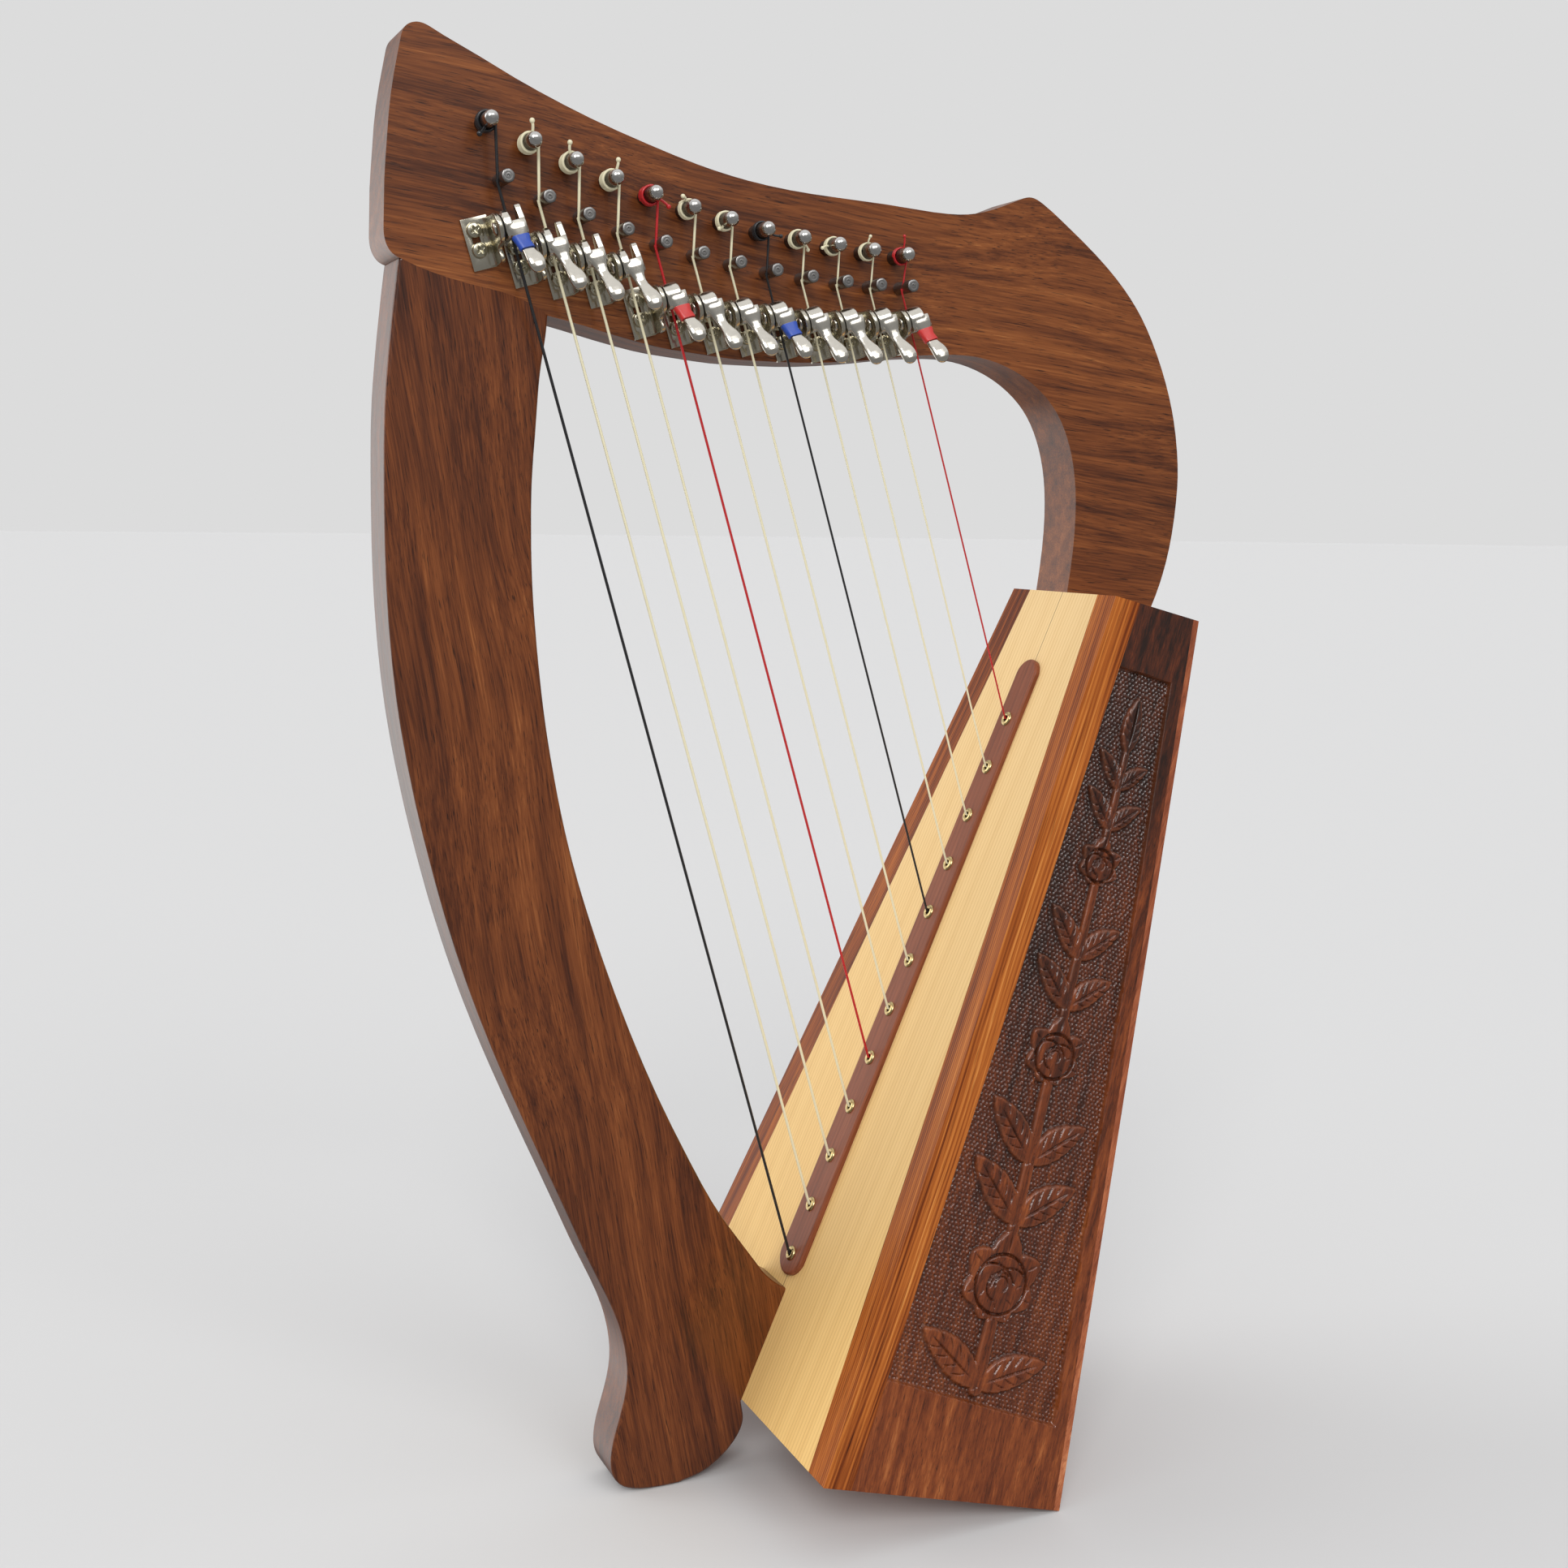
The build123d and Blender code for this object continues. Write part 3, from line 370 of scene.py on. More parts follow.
m_nickel = metal("nickel", srgb(216, 211, 200), 0.16, 0.07, bump=0.08)
m_bracket = metal("nickel_bracket", srgb(200, 194, 178), 0.20, 0.08, stain=0.0, bump=0.10)
m_steel = metal("turned_steel", srgb(150, 148, 146), 0.34, 0.12, stain=0.10, bump=0.4)
m_screw = metal("screw_head", srgb(200, 194, 172), 0.22, 0.10, stain=0.10)
m_brass = metal("eyelet_brass", srgb(204, 180, 128), 0.22, 0.10)


def pin_metal():
    """Polished tip; further down a fine dark thread, painted darker still as painted shade near the neck."""
    n = Nodes("nickel_pin")
    p = n.coords()
    x, y, z = n.separate(p)
    cloud = n.noise(p, 260.0, 4.0, 0.6)
    low = n.maprange(y, -0.0165, -0.0140, 0.0, 1.0)
    thread = n.wave(p, 2200.0 / (2 * math.pi) * 1.0, "BANDS", "Y", distortion=0.3, detail=1.0)
    col = n.mix(n.maprange(cloud, 0.42, 0.72, 0.0, 0.3), (*srgb(206, 204, 200), 1), (*srgb(150, 148, 146), 1))
    dark = n.mix(thread, (*srgb(84, 78, 74), 1), (*srgb(128, 122, 116), 1))
    # towards the neck the colour is the dark bare thread and painted shade from the windings and the neck
    n.base(n.mix(low, col, dark))
    n.rough(n.math("ADD", n.math("MULTIPLY", low, 0.22), n.maprange(cloud, 0.35, 0.65, 0.12, 0.22)))
    n.set(Metallic=1.0)
    n.normal(n.bump(n.math("MULTIPLY", thread, low), 0.5, 0.00012))
    return n.mat


m_pin = pin_metal()


def plastic(name, colour, rough=0.35, mottling=0.10, transmission=0.0, scatter=0.0, coat=0.0):
    n = Nodes(name)
    p = n.coords()
    f = n.noise(p, 700.0, 3.0)
    dark = tuple(c * (1 - 2.2 * mottling) for c in colour)
    n.base(n.mix(f, (*dark, 1), (*colour, 1)))
    n.rough(n.maprange(f, 0.3, 0.7, rough - 0.05, rough + 0.08))
    n.set(Transmission_Weight=transmission, Subsurface_Weight=scatter, Coat_Weight=coat)
    if scatter:
        n.bsdf.inputs["Subsurface Radius"].default_value = (1.0, 1.0, 0.8)
        n.bsdf.inputs["Subsurface Scale"].default_value = 0.0004
    if mottling > 0.06:
        n.normal(n.bump(f, 0.15, 0.00003))
    return n.mat


m_natural = plastic("nylon_natural", srgb(232, 224, 190), 0.34, 0.012)
m_black = plastic("nylon_black", srgb(34, 34, 36), 0.30, 0.05, coat=0.2)
m_red = plastic("nylon_red", srgb(190, 34, 38), 0.28, 0.03, coat=0.2)
m_blue_sleeve = plastic("sleeve_blue", srgb(38, 78, 178), 0.38, 0.12, coat=0.1)
m_red_sleeve = plastic("sleeve_red", srgb(206, 44, 40), 0.38, 0.12, coat=0.1)
m_washer = plastic("washer_black", srgb(20, 20, 20), 0.5, 0.1)
STRING_MAT = [m_black if i in BLACK else m_red if i in RED else m_natural for i in range(12)]
STRING_SLOT = ["nylon_black" if i in BLACK else "nylon_red" if i in RED else "nylon_natural" for i in range(12)]

# ------------------------------------------------------------------ mesh tools


def make(name, verts, faces, mat, body, slot, angle=40.0, replaces=()):
    """A finished piece in metres from millimetre vertices."""
    me = bpy.data.meshes.new(name)
    me.from_pydata([tuple(float(c) * MM for c in v) for v in verts], [], [tuple(f) for f in faces])
    me.validate()
    me.materials.append(mat)
    me.polygons.foreach_set("use_smooth", [True] * len(me.polygons))
    me.set_sharp_from_angle(angle=math.radians(angle))
    ob = bpy.data.objects.new(name, me)
    scene.collection.objects.link(ob)
    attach(ob, body)
    if replaces:
        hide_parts(*replaces)
    return ob


def join(*shells):
    verts, faces = [], []
    for v, f in shells:
        k = len(verts)
        verts.extend([tuple(p) for p in v])
        faces.extend([tuple(i + k for i in q) for q in f])
    return verts, faces


def lathe(profile, origin, axis, seg=48, wobble=None):
    """Rings of (radius, height) about an axis, closed by end caps where the radius isn't zero."""
    axis = np.array(axis, float) / np.linalg.norm(axis)
    e1 = np.cross(axis, [0, 0, 1.0] if abs(axis[2]) < 0.9 else [1.0, 0, 0])
    e1 /= np.linalg.norm(e1)
    e2 = np.cross(axis, e1)
    origin = np.array(origin, float)
    verts, faces, rows = [], [], []
    for r, h in profile:
        if r < 1e-6:
            rows.append([len(verts)])
            verts.append(origin + axis * h)
        else:
            row = []
            for k in range(seg):
                t = 2 * math.pi * k / seg
                rr = r if wobble is None else wobble(r, h, t)
                row.append(len(verts))
                verts.append(origin + axis * h + (e1 * math.cos(t) + e2 * math.sin(t)) * rr)
            rows.append(row)
    for a, b in zip(rows, rows[1:]):
        for k in range(seg):
            k2 = (k + 1) % seg
            if len(a) == 1:
                faces.append((a[0], b[k2], b[k]))
            elif len(b) == 1:
                faces.append((a[k], a[k2], b[0]))
            else:
                faces.append((a[k], a[k2], b[k2], b[k]))
    if len(rows[0]) > 1 and len(rows[-1]) > 1 and np.linalg.norm(np.array(profile[0]) - np.array(profile[-1])) > 1e-9:
        faces.append(tuple(rows[0][::-1]))
        faces.append(tuple(rows[-1]))
    elif len(rows[0]) > 1 and len(rows[-1]) == 1:
        faces.append(tuple(rows[0][::-1]))
    elif len(rows[0]) == 1 and len(rows[-1]) > 1:
        faces.append(tuple(rows[-1]))
    return verts, faces


def ring_lathe(profile, origin, axis, seg=48):
    """A closed profile swept about an axis, such as a washer."""
    axis = np.array(axis, float) / np.linalg.norm(axis)
    e1 = np.cross(axis, [0, 0, 1.0] if abs(axis[2]) < 0.9 else [1.0, 0, 0])
    e1 /= np.linalg.norm(e1)
    e2 = np.cross(axis, e1)
    n = len(profile)
    verts = [np.array(origin) + axis * h + (e1 * math.cos(2 * math.pi * k / seg) + e2 * math.sin(2 * math.pi * k / seg)) * r
             for k in range(seg) for r, h in profile]
    faces = [(k * n + j, k * n + (j + 1) % n, ((k + 1) % seg) * n + (j + 1) % n, ((k + 1) % seg) * n + j)
             for k in range(seg) for j in range(n)]
    return verts, faces


def smooth_path(points, step=0.6):
    """Catmull-Rom through the points."""
    p = [np.array(q, float) for q in points]
    p = [2 * p[0] - p[1]] + p + [2 * p[-1] - p[-2]]
    out = []
    for a, b, c, d in zip(p, p[1:], p[2:], p[3:]):
        n = max(2, int(np.linalg.norm(c - b) / step))
        for k in range(n):
            t = k / n
            out.append(0.5 * ((2 * b) + (c - a) * t + (2 * a - 5 * b + 4 * c - d) * t * t + (3 * b - a - 3 * c + d) * t ** 3))
    out.append(p[-2])
    return out


def tube(path, radius, seg=14, ball=0.0, start_round=True):
    """A round string along a path. radius is a number or one number per point."""
    path = [np.array(q, float) for q in path]
    n = len(path)
    r = [radius] * n if np.isscalar(radius) else list(radius)
    tang = []
    for k in range(n):
        t = path[min(k + 1, n - 1)] - path[max(k - 1, 0)]
        tang.append(t / (np.linalg.norm(t) + 1e-12))
    ref = np.array([0, 0, 1.0]) if abs(tang[0][2]) < 0.9 else np.array([1.0, 0, 0])
    e = np.cross(tang[0], ref)
    e /= np.linalg.norm(e)
    verts, faces, rows = [], [], []
    for k in range(n):
        e = e - tang[k] * np.dot(e, tang[k])
        e /= np.linalg.norm(e)
        g = np.cross(tang[k], e)
        rows.append([len(verts) + j for j in range(seg)])
        verts.extend(path[k] + (e * math.cos(2 * math.pi * j / seg) + g * math.sin(2 * math.pi * j / seg)) * r[k] for j in range(seg))
    for a, b in zip(rows, rows[1:]):
        for j in range(seg):
            faces.append((a[j], a[(j + 1) % seg], b[(j + 1) % seg], b[j]))
    for row, q, sign in ((rows[0], path[0] - tang[0] * r[0] * 0.35, 1), (rows[-1], path[-1] + tang[-1] * r[-1] * 0.35, -1)):
        c = len(verts)
        verts.append(q)
        for j in range(seg):
            a, b = row[j], row[(j + 1) % seg]
            faces.append((a, c, b) if sign == 1 else (a, b, c))
    return verts, faces


def prism(loops, place, h0, h1):
    """Outline with holes, from height h0 to h1. place(u, v, h) gives the point."""
    pts = [p for loop in loops for p in loop]
    n = len(pts)
    tris = tessellate_polygon([[Vector((p[0], p[1], 0)) for p in loop] for loop in loops])
    verts = [place(p[0], p[1], h0) for p in pts] + [place(p[0], p[1], h1) for p in pts]
    faces = [tuple(t) for t in tris] + [tuple(i + n for i in t[::-1]) for t in tris]
    k = 0
    for loop in loops:
        m = len(loop)
        for j in range(m):
            a, b = k + j, k + (j + 1) % m
            faces.append((a, b, b + n, a + n))
        k += m
    return verts, faces


def loft(rings):
    """Closed rings of equal length, capped at both ends."""
    verts, faces = [], []
    m = len(rings[0])
    for ring in rings:
        verts.extend(ring)
    for k in range(len(rings) - 1):
        for j in range(m):
            a, b = k * m + j, k * m + (j + 1) % m
            faces.append((a, b, b + m, a + m))
    faces.append(tuple(range(m))[::-1])
    faces.append(tuple(range((len(rings) - 1) * m, len(rings) * m)))
    return verts, faces


def fuse(shells, voxel, smooth=4, factor=0.5):
    """Overlapping closed shells, in millimetres, to one cast-looking skin."""
    me = bpy.data.meshes.new("cast")
    v, f = join(*shells)
    me.from_pydata([tuple(map(float, p)) for p in v], [], f)
    ob = bpy.data.objects.new("cast", me)
    scene.collection.objects.link(ob)
    # all faces outward, so that the inside is known
    bm = bmesh.new()
    bm.from_mesh(me)
    bmesh.ops.recalc_face_normals(bm, faces=bm.faces)
    bmesh.ops.triangulate(bm, faces=bm.faces)
    bm.to_mesh(me)
    bm.free()
    r = ob.modifiers.new("r", "REMESH")
    r.mode = "VOXEL"
    r.voxel_size = voxel
    s = ob.modifiers.new("s", "SMOOTH")
    s.factor = factor
    s.iterations = smooth
    dg = bpy.context.evaluated_depsgraph_get()
    out = bpy.data.meshes.new_from_object(ob.evaluated_get(dg))
    co = np.zeros(len(out.vertices) * 3)
    out.vertices.foreach_get("co", co)
    faces = [tuple(p.vertices) for p in out.polygons]
    bpy.data.objects.remove(ob)
    bpy.data.meshes.remove(me)
    bpy.data.meshes.remove(out)
    return co.reshape(-1, 3), faces


# ------------------------------------------------------------------ strings and levers: where they lie
strings, levers = [], []
for i in range(12):
    r = STRING_R[i]
    tx, tz = TUNING[i]
    bx, bz = BRIDGE[i]
    top = np.array([tx + PIN_R + r + 0.35, STRING_Y - 0.6, tz - 1.0])
    eye = on_board(i * PITCH, -(RIB_H + 1.0))
    centre = np.array([bx, STRING_Y, bz])
    corner = np.array([bx - BRIDGE_R - r, STRING_Y, bz])
    for k in range(6):
        a = np.array([top[0] - corner[0], 0, top[2] - corner[2]]); a /= np.linalg.norm(a)
        c = np.array([eye[0] - corner[0], 0, eye[2] - corner[2]]); c /= np.linalg.norm(c)
        w = (a + c) / np.linalg.norm(a + c)
        h = math.acos(max(-1.0, min(1.0, float(a @ c)))) / 2
        corner = centre - w * ((BRIDGE_R + r + 0.12) / math.sin(h))
    strings.append((top, corner, eye))
    d = np.array([eye[0] - corner[0], 0, eye[2] - corner[2]]); d /= np.linalg.norm(d)
    nx = np.array([-d[2], 0, d[0]])
    o = np.array([corner[0], AXIS_Y, corner[2]]) + d * LEVER_DROP[i] + nx * LEVER_OFF[i]
    levers.append((o, nx, -d, np.array([0, -1.0, 0])))


def placed(verts, i):
    """Vertices of a lever frame (x across the string, y up it, z out of the neck) at lever i."""
    o, ex, ey, ez = levers[i]
    return np.array(verts) @ np.array([ex, ey, ez]) + o


NECK_H = AXIS_Y - NECK_NEAR
PLATE_TOP = NECK_H + 1.2
SCREWS = [(-12.4, 2.2), (-12.4, -5.6)]

# ------------------------------------------------------------------ lever: cast body with its handle
HT = math.radians(22.0)
RUN = np.array([0, -math.cos(HT), math.sin(HT)])
OUT = np.array([0, math.sin(HT), math.cos(HT)])
EX = np.array([1.0, 0, 0])
# along the handle: centre across, half width, half thickness, lift, squareness of the section
HANDLE = [(0.4, -0.35, 4.40, 1.50, 0.30, 4.4), (2.2, -0.30, 4.25, 1.45, 0.32, 4.4), (3.6, -0.15, 3.95, 1.32, 0.15, 4.2),
          (5.0, -0.02, 3.45, 1.22, -0.20, 4.0), (6.5, 0.12, 2.85, 1.15, -0.62, 3.6), (8.0, 0.25, 2.38, 1.12, -0.92, 3.2),
          (9.5, 0.45, 2.15, 1.12, -1.02, 3.0), (11.0, 0.75, 2.20, 1.16, -0.92, 2.8), (13.0, 1.20, 2.60, 1.26, -0.55, 2.7),
          (15.0, 1.60, 3.12, 1.38, -0.12, 2.7), (17.0, 1.85, 3.42, 1.46, 0.15, 2.7), (19.0, 1.95, 3.40, 1.46, 0.20, 2.6),
          (20.6, 1.97, 3.02, 1.34, 0.02, 2.5), (21.6, 1.98, 2.30, 1.10, -0.28, 2.4), (22.15, 1.98, 1.40, 0.74, -0.52, 2.2),
          (22.4, 1.98, 0.50, 0.30, -0.68, 2.0)]


def handle_at(v):
    t = [h[0] for h in HANDLE]
    return [float(np.interp(v, t, [h[k] for h in HANDLE])) for k in (1, 2, 3, 4, 5)]


def handle_ring(v, cx, w, h, lift, power=2.6, n=48):
    ring = []
    for k in range(n):
        a = 2 * math.pi * k / n
        ca, sa = math.cos(a), math.sin(a)
        x = cx + w * math.copysign(abs(ca) ** (2 / power), ca)
        z = h * math.copysign(abs(sa) ** (2 / power), sa)
        ring.append(EX * x + RUN * v + OUT * (3.0 + lift + z))
    return ring


def lever_shells(forked):
    shells = []
    # cheek or drum on the axle
    x1 = -1.55 if forked else 1.8
    shells.append(lathe([(0, -4.95), (4.75, -4.95), (5.05, -4.8), (5.2, -4.5), (5.2, x1 - 0.45), (5.05, x1 - 0.12), (4.75, x1), (0, x1)],
                        (0, 0, 0), (1, 0, 0), 120))
    # the handle
    t = [h[0] for h in HANDLE]
    rings = [handle_ring(v, *handle_at(v)) for v in np.interp(np.linspace(0, len(t) - 1, 90), range(len(t)), t)]
    shells.append(loft(rings))
    yz = lambda u, v, h: (h, u, v)
    # web across the string, with the flat face that the handle starts from
    web = [(-4.8, 0.6), (-4.9, 3.0), (-3.9, 4.7), (-1.75, 4.75), (-1.25, 4.3), (-1.2, 3.4), (-1.5, 0.6)]
    shells.append(prism([web], yz, -4.6, 4.1))
    if forked:
        prong = [(-4.8, 0.4), (-4.5, 3.6), (-2.6, 4.8), (0.0, 4.4), (3.4, 3.3), (6.0, 2.4), (7.0, 1.75), (7.3, 0.9), (6.8, 0.0),
                 (5.4, -0.5), (1.5, -0.9), (-2.0, -0.9)]
        shells.append(prism([prong], yz, 1.80, 4.1))
        # the cheek stands a little prouder than its bearing and ends in a rounded lobe
        lobe = [(-3.2, 4.6), (0.0, 5.1), (2.9, 4.6), (5.0, 3.0), (6.0, 1.1), (5.9, -0.6), (4.6, -2.4), (2.0, -3.4), (-2.0, -3.4)]
        shells.append(prism([lobe], yz, -4.2, -1.75))
    else:
        shells.append(prism([[(-4.8, -0.4), (-4.8, 3.4), (-1.5, 4.6), (0.2, 3.4), (0.2, 0.8), (-1.5, -0.6)]], yz, 1.0, 4.1))
    return shells


VOX = 0.20
forked_v, forked_f = fuse(lever_shells(True), VOX, 7)
plain_v, plain_f = fuse(lever_shells(False), VOX, 7)

for i in range(12):
    v, f = (forked_v, forked_f) if i < 4 else (plain_v, plain_f)
    make(f"lever_{i + 1:02d}_cast", placed(v, i), f, m_nickel, f"lever_{i + 1:02d}", "lever_nickel", 180.0, [f"lever_{i + 1:02d}"])
    if i in SLEEVES:
        rings = []
        a, b = 6.3, 11.8
        prof = [(a, 0.05), (a - 0.12, 0.35), (a, 0.62), (a + 0.35, 0.72), ((a + b) / 2, 0.66), (b - 0.35, 0.72), (b, 0.62), (b + 0.12, 0.35), (b, 0.05)]
        for v0, grow in prof + [(v0, 0.03) for v0 in np.linspace(b, a, 8)[1:-1]]:
            cx, w, h, lift, power = handle_at(v0)
            rings.append(handle_ring(v0, cx, max(w, 2.25) + grow, h + grow, lift, 3.0))
        m = 48
        verts = [p for ring in rings for p in ring]
        n = len(rings)
        faces = [(k * m + j, k * m + (j + 1) % m, ((k + 1) % n) * m + (j + 1) % m, ((k + 1) % n) * m + j) for k in range(n) for j in range(m)]
        make(f"lever_sleeve_{i + 1:02d}_tube", placed(verts, i), faces, m_blue_sleeve if SLEEVES[i] == "blue" else m_red_sleeve,
             f"lever_{i + 1:02d}", f"sleeve_{SLEEVES[i]}", 50.0, [f"lever_sleeve_{i + 1:02d}"])

# ------------------------------------------------------------------ lever brackets
ear = [(-13.0, NECK_H + 0.2), (-13.0, -6.6), (-12.3, -3.7), (-10.9, -2.5), (-9.4, -2.7), (-8.1, -3.3), (-7.0, -2.4), (-6.2, -0.6)]
ear += [(6.0 * math.cos(a), 6.0 * math.sin(a)) for a in np.linspace(math.pi - 0.25, 0.0, 22)]
ear += [(5.9, -3.0), (5.9, -7.0), (6.1, NECK_H + 0.2)]
place_x = lambda u, v, h: (h, u, v)
slot_hole = [(-12.4 + 1.60 * math.cos(a), 2.2 + 1.60 * math.sin(a)) for a in np.linspace(0, math.pi, 12)]
slot_hole += [(-12.4 + 1.60 * math.cos(a), -5.6 + 1.60 * math.sin(a)) for a in np.linspace(math.pi, 2 * math.pi, 12)]
plate = [(-16.7, -13.0), (-5.7, -13.0), (-5.7, 6.6), (-6.1, 7.0), (-16.7, 7.0)]
fillet_line = [(-7.6, PLATE_TOP - 0.3), (-7.6, PLATE_TOP + 2.2), (-8.0, PLATE_TOP + 1.2), (-8.7, PLATE_TOP + 0.5), (-9.9, PLATE_TOP - 0.3)]


def bevelled(shell, width, segments=3, angle=30.0):
    """A prism with its sharp edges rounded."""
    me = bpy.data.meshes.new("cut")
    me.from_pydata([tuple(map(float, p)) for p in shell[0]], [], shell[1])
    bm = bmesh.new()
    bm.from_mesh(me)
    bmesh.ops.recalc_face_normals(bm, faces=bm.faces)
    bmesh.ops.dissolve_limit(bm, angle_limit=0.01, verts=bm.verts, edges=bm.edges)
    bm.to_mesh(me)
    bm.free()
    ob = bpy.data.objects.new("cut", me)
    scene.collection.objects.link(ob)
    m = ob.modifiers.new("b", "BEVEL")
    m.width = width
    m.segments = segments
    m.limit_method = "ANGLE"
    m.angle_limit = math.radians(angle)
    m.harden_normals = False
    out = bpy.data.meshes.new_from_object(ob.evaluated_get(bpy.context.evaluated_depsgraph_get()))
    v = [tuple(q.co) for q in out.vertices]
    f = [tuple(q.vertices) for q in out.polygons]
    bpy.data.objects.remove(ob)
    bpy.data.meshes.remove(me)
    bpy.data.meshes.remove(out)
    return v, f


bracket_v, bracket_f = join(
    bevelled(prism([plate, slot_hole[::-1]], lambda u, v, h: (u, v, h), NECK_H, PLATE_TOP), 0.22),
    bevelled(prism([ear], place_x, -7.6, -5.72), 0.5, 4, 40.0),
    bevelled(prism([fillet_line], lambda u, v, h: (u, h, v), -12.4, 5.8), 0.15, 2, 80.0),
)
v, f = join(*[(placed(bracket_v, i), bracket_f) for i in range(12)])
make("lever_brackets_cast", v, f, m_bracket, "frame", "lever_nickel", 40.0, ["lever_brackets"])

axle = lathe([(0, -8.75), (1.2, -8.7), (2.0, -8.5), (2.45, -8.15), (2.55, -7.85), (1.45, -7.8), (1.45, -1.8), (0, -1.8)], (0, 0, 0), (1, 0, 0), 40)
v, f = join(*[(placed(axle[0], i), axle[1]) for i in range(12)])
make("lever_axles_rivets", v, f, m_nickel, "frame", "lever_nickel", 35.0, ["lever_axles"])

wash = ring_lathe([(1.55, -5.62), (4.6, -5.62), (4.85, -5.5), (4.93, -5.33), (4.85, -5.15), (4.6, -5.03), (1.55, -5.03)], (0, 0, 0), (1, 0, 0), 64)
v, f = join(*[(placed(wash[0], i), wash[1]) for i in range(12)])
make("lever_washers_rings", v, f, m_washer, "frame", "washer_black", 35.0, ["lever_washers"])


def phillips(turn):
    """Pan head with a cross recess, its seat at z 0, and a plain shank."""
    R, seg = 2.75, 72
    radii = [0.0, 0.12, 0.24, 0.36, 0.5, 0.65, 0.8, 0.95, 1.1, 1.25, 1.4, 1.6, 1.85, 2.1, 2.35, 2.55, 2.68, 2.74, 2.75]

    def top(r, t):
        z = 1.95 - 0.50 * (r / 2.4) ** 2 if r < 2.4 else 1.45 - 1.1 * ((r - 2.4) / 0.35) ** 2
        x, y = abs(r * math.cos(t - turn)), abs(r * math.sin(t - turn))
        arm = min(x, y)                       # distance to the nearer slot's middle
        reach = max(x, y)
        w = 0.42 - 0.10 * reach
        d = 1.0 / (1 + math.exp((arm - w) / 0.055)) / (1 + math.exp((reach - 1.38) / 0.06))
        return z - d * (1.15 - 0.45 * reach)
    verts = [(0, 0, top(0.0, 0.0))]
    for r in radii[1:]:
        for k in range(seg):
            t = 2 * math.pi * k / seg
            verts.append((r * math.cos(t), r * math.sin(t), max(0.25, top(r, t)) if r > 2.5 else top(r, t)))
    faces = [(0, 1 + k, 1 + (k + 1) % seg) for k in range(seg)]
    for j in range(len(radii) - 2):
        for k in range(seg):
            a, b = 1 + j * seg + k, 1 + j * seg + (k + 1) % seg
            faces.append((a, a + seg, b + seg, b))
    last = 1 + (len(radii) - 2) * seg
    rows = [last]
    for r, z in ((2.75, 0.0), (1.5, 0.0), (1.5, -3.0)):
        rows.append(len(verts))
        verts.extend((r * math.cos(2 * math.pi * k / seg), r * math.sin(2 * math.pi * k / seg), z) for k in range(seg))
    for a, b in zip(rows, rows[1:]):
        for k in range(seg):
            faces.append((a + k, b + k, b + (k + 1) % seg, a + (k + 1) % seg))
    faces.append(tuple(rows[-1] + k for k in range(seg)))
    return np.array(verts), faces


shells = []
for i in range(12):
    for k, (x, y) in enumerate(SCREWS):
        pv, pf = phillips(0.35 + 0.9 * i + 1.7 * k)
        wide = (pv[:, 2] > 0) | (np.hypot(pv[:, 0], pv[:, 1]) > 2)
        pv[wide, :2] *= 1.13
        shells.append((placed(pv + np.array([x, y, PLATE_TOP]), i), pf))
v, f = join(*shells)
make("lever_screws_heads", v, f, m_screw, "frame", "screw_steel", 38.0, ["lever_screws"])

# ------------------------------------------------------------------ bridge pins


def hexed(r, h, t):
    """Faceted near the tip, round lower down."""
    if h > 9.0 or r < 1.6:
        return r
    a = (t + 0.3) % (math.pi / 3) - math.pi / 6
    flat = math.cos(math.pi / 6) / math.cos(a)
    return r * (0.55 + 0.45 * (0.35 + 0.65 * flat) / 0.95)


shells = []
for x, z in BRIDGE:
    prof = [(0, 0.35), (0.35, 0.30), (0.55, 0.02), (1.0, 0.0), (1.2, 0.06), (1.5, 0.0), (BRIDGE_R - 0.55, 0.0), (BRIDGE_R - 0.22, 0.18), (BRIDGE_R - 0.02, 0.6),
            (BRIDGE_R, 1.2), (BRIDGE_R, 3.6), (BRIDGE_R - 0.05, 5.0), (BRIDGE_R - 0.28, 5.6), (BRIDGE_R - 0.40, 6.4), (BRIDGE_R - 0.28, 7.2), (BRIDGE_R - 0.05, 7.8),
            (BRIDGE_R, 8.6), (BRIDGE_R, 26.0), (BRIDGE_R - 0.6, 26.8), (0, 26.8)]
    shells.append(lathe(prof, (x, NECK_NEAR - BRIDGE_OUT, z), (0, 1, 0), 60, hexed))
v, f = join(*shells)
make("bridge_pins_turned", v, f, m_steel, "frame", "bridge_pin_steel", 32.0, ["bridge_pins"])

# ------------------------------------------------------------------ eyelets
shells = []
for i in range(12):
    prof = [(1.32, -2.4), (1.32, RIB_H + 0.25)]
    prof += [(1.32 + 0.62 * (1 - math.cos(a)), RIB_H + 0.45 + 0.58 * math.sin(a)) for a in np.linspace(0.15, math.pi / 2, 7)]
    prof += [(2.45, RIB_H + 0.98), (2.95, RIB_H + 0.80), (3.30, RIB_H + 0.45), (3.42, RIB_H + 0.12), (3.40, RIB_H + 0.01), (2.05, RIB_H), (2.05, -2.4)]
    shells.append(ring_lathe(prof, on_board(i * PITCH), -V, 56))
v, f = join(*shells)
make("eyelets_rolled", v, f, m_brass, "frame", "eyelet_brass", 42.0, ["eyelets"])

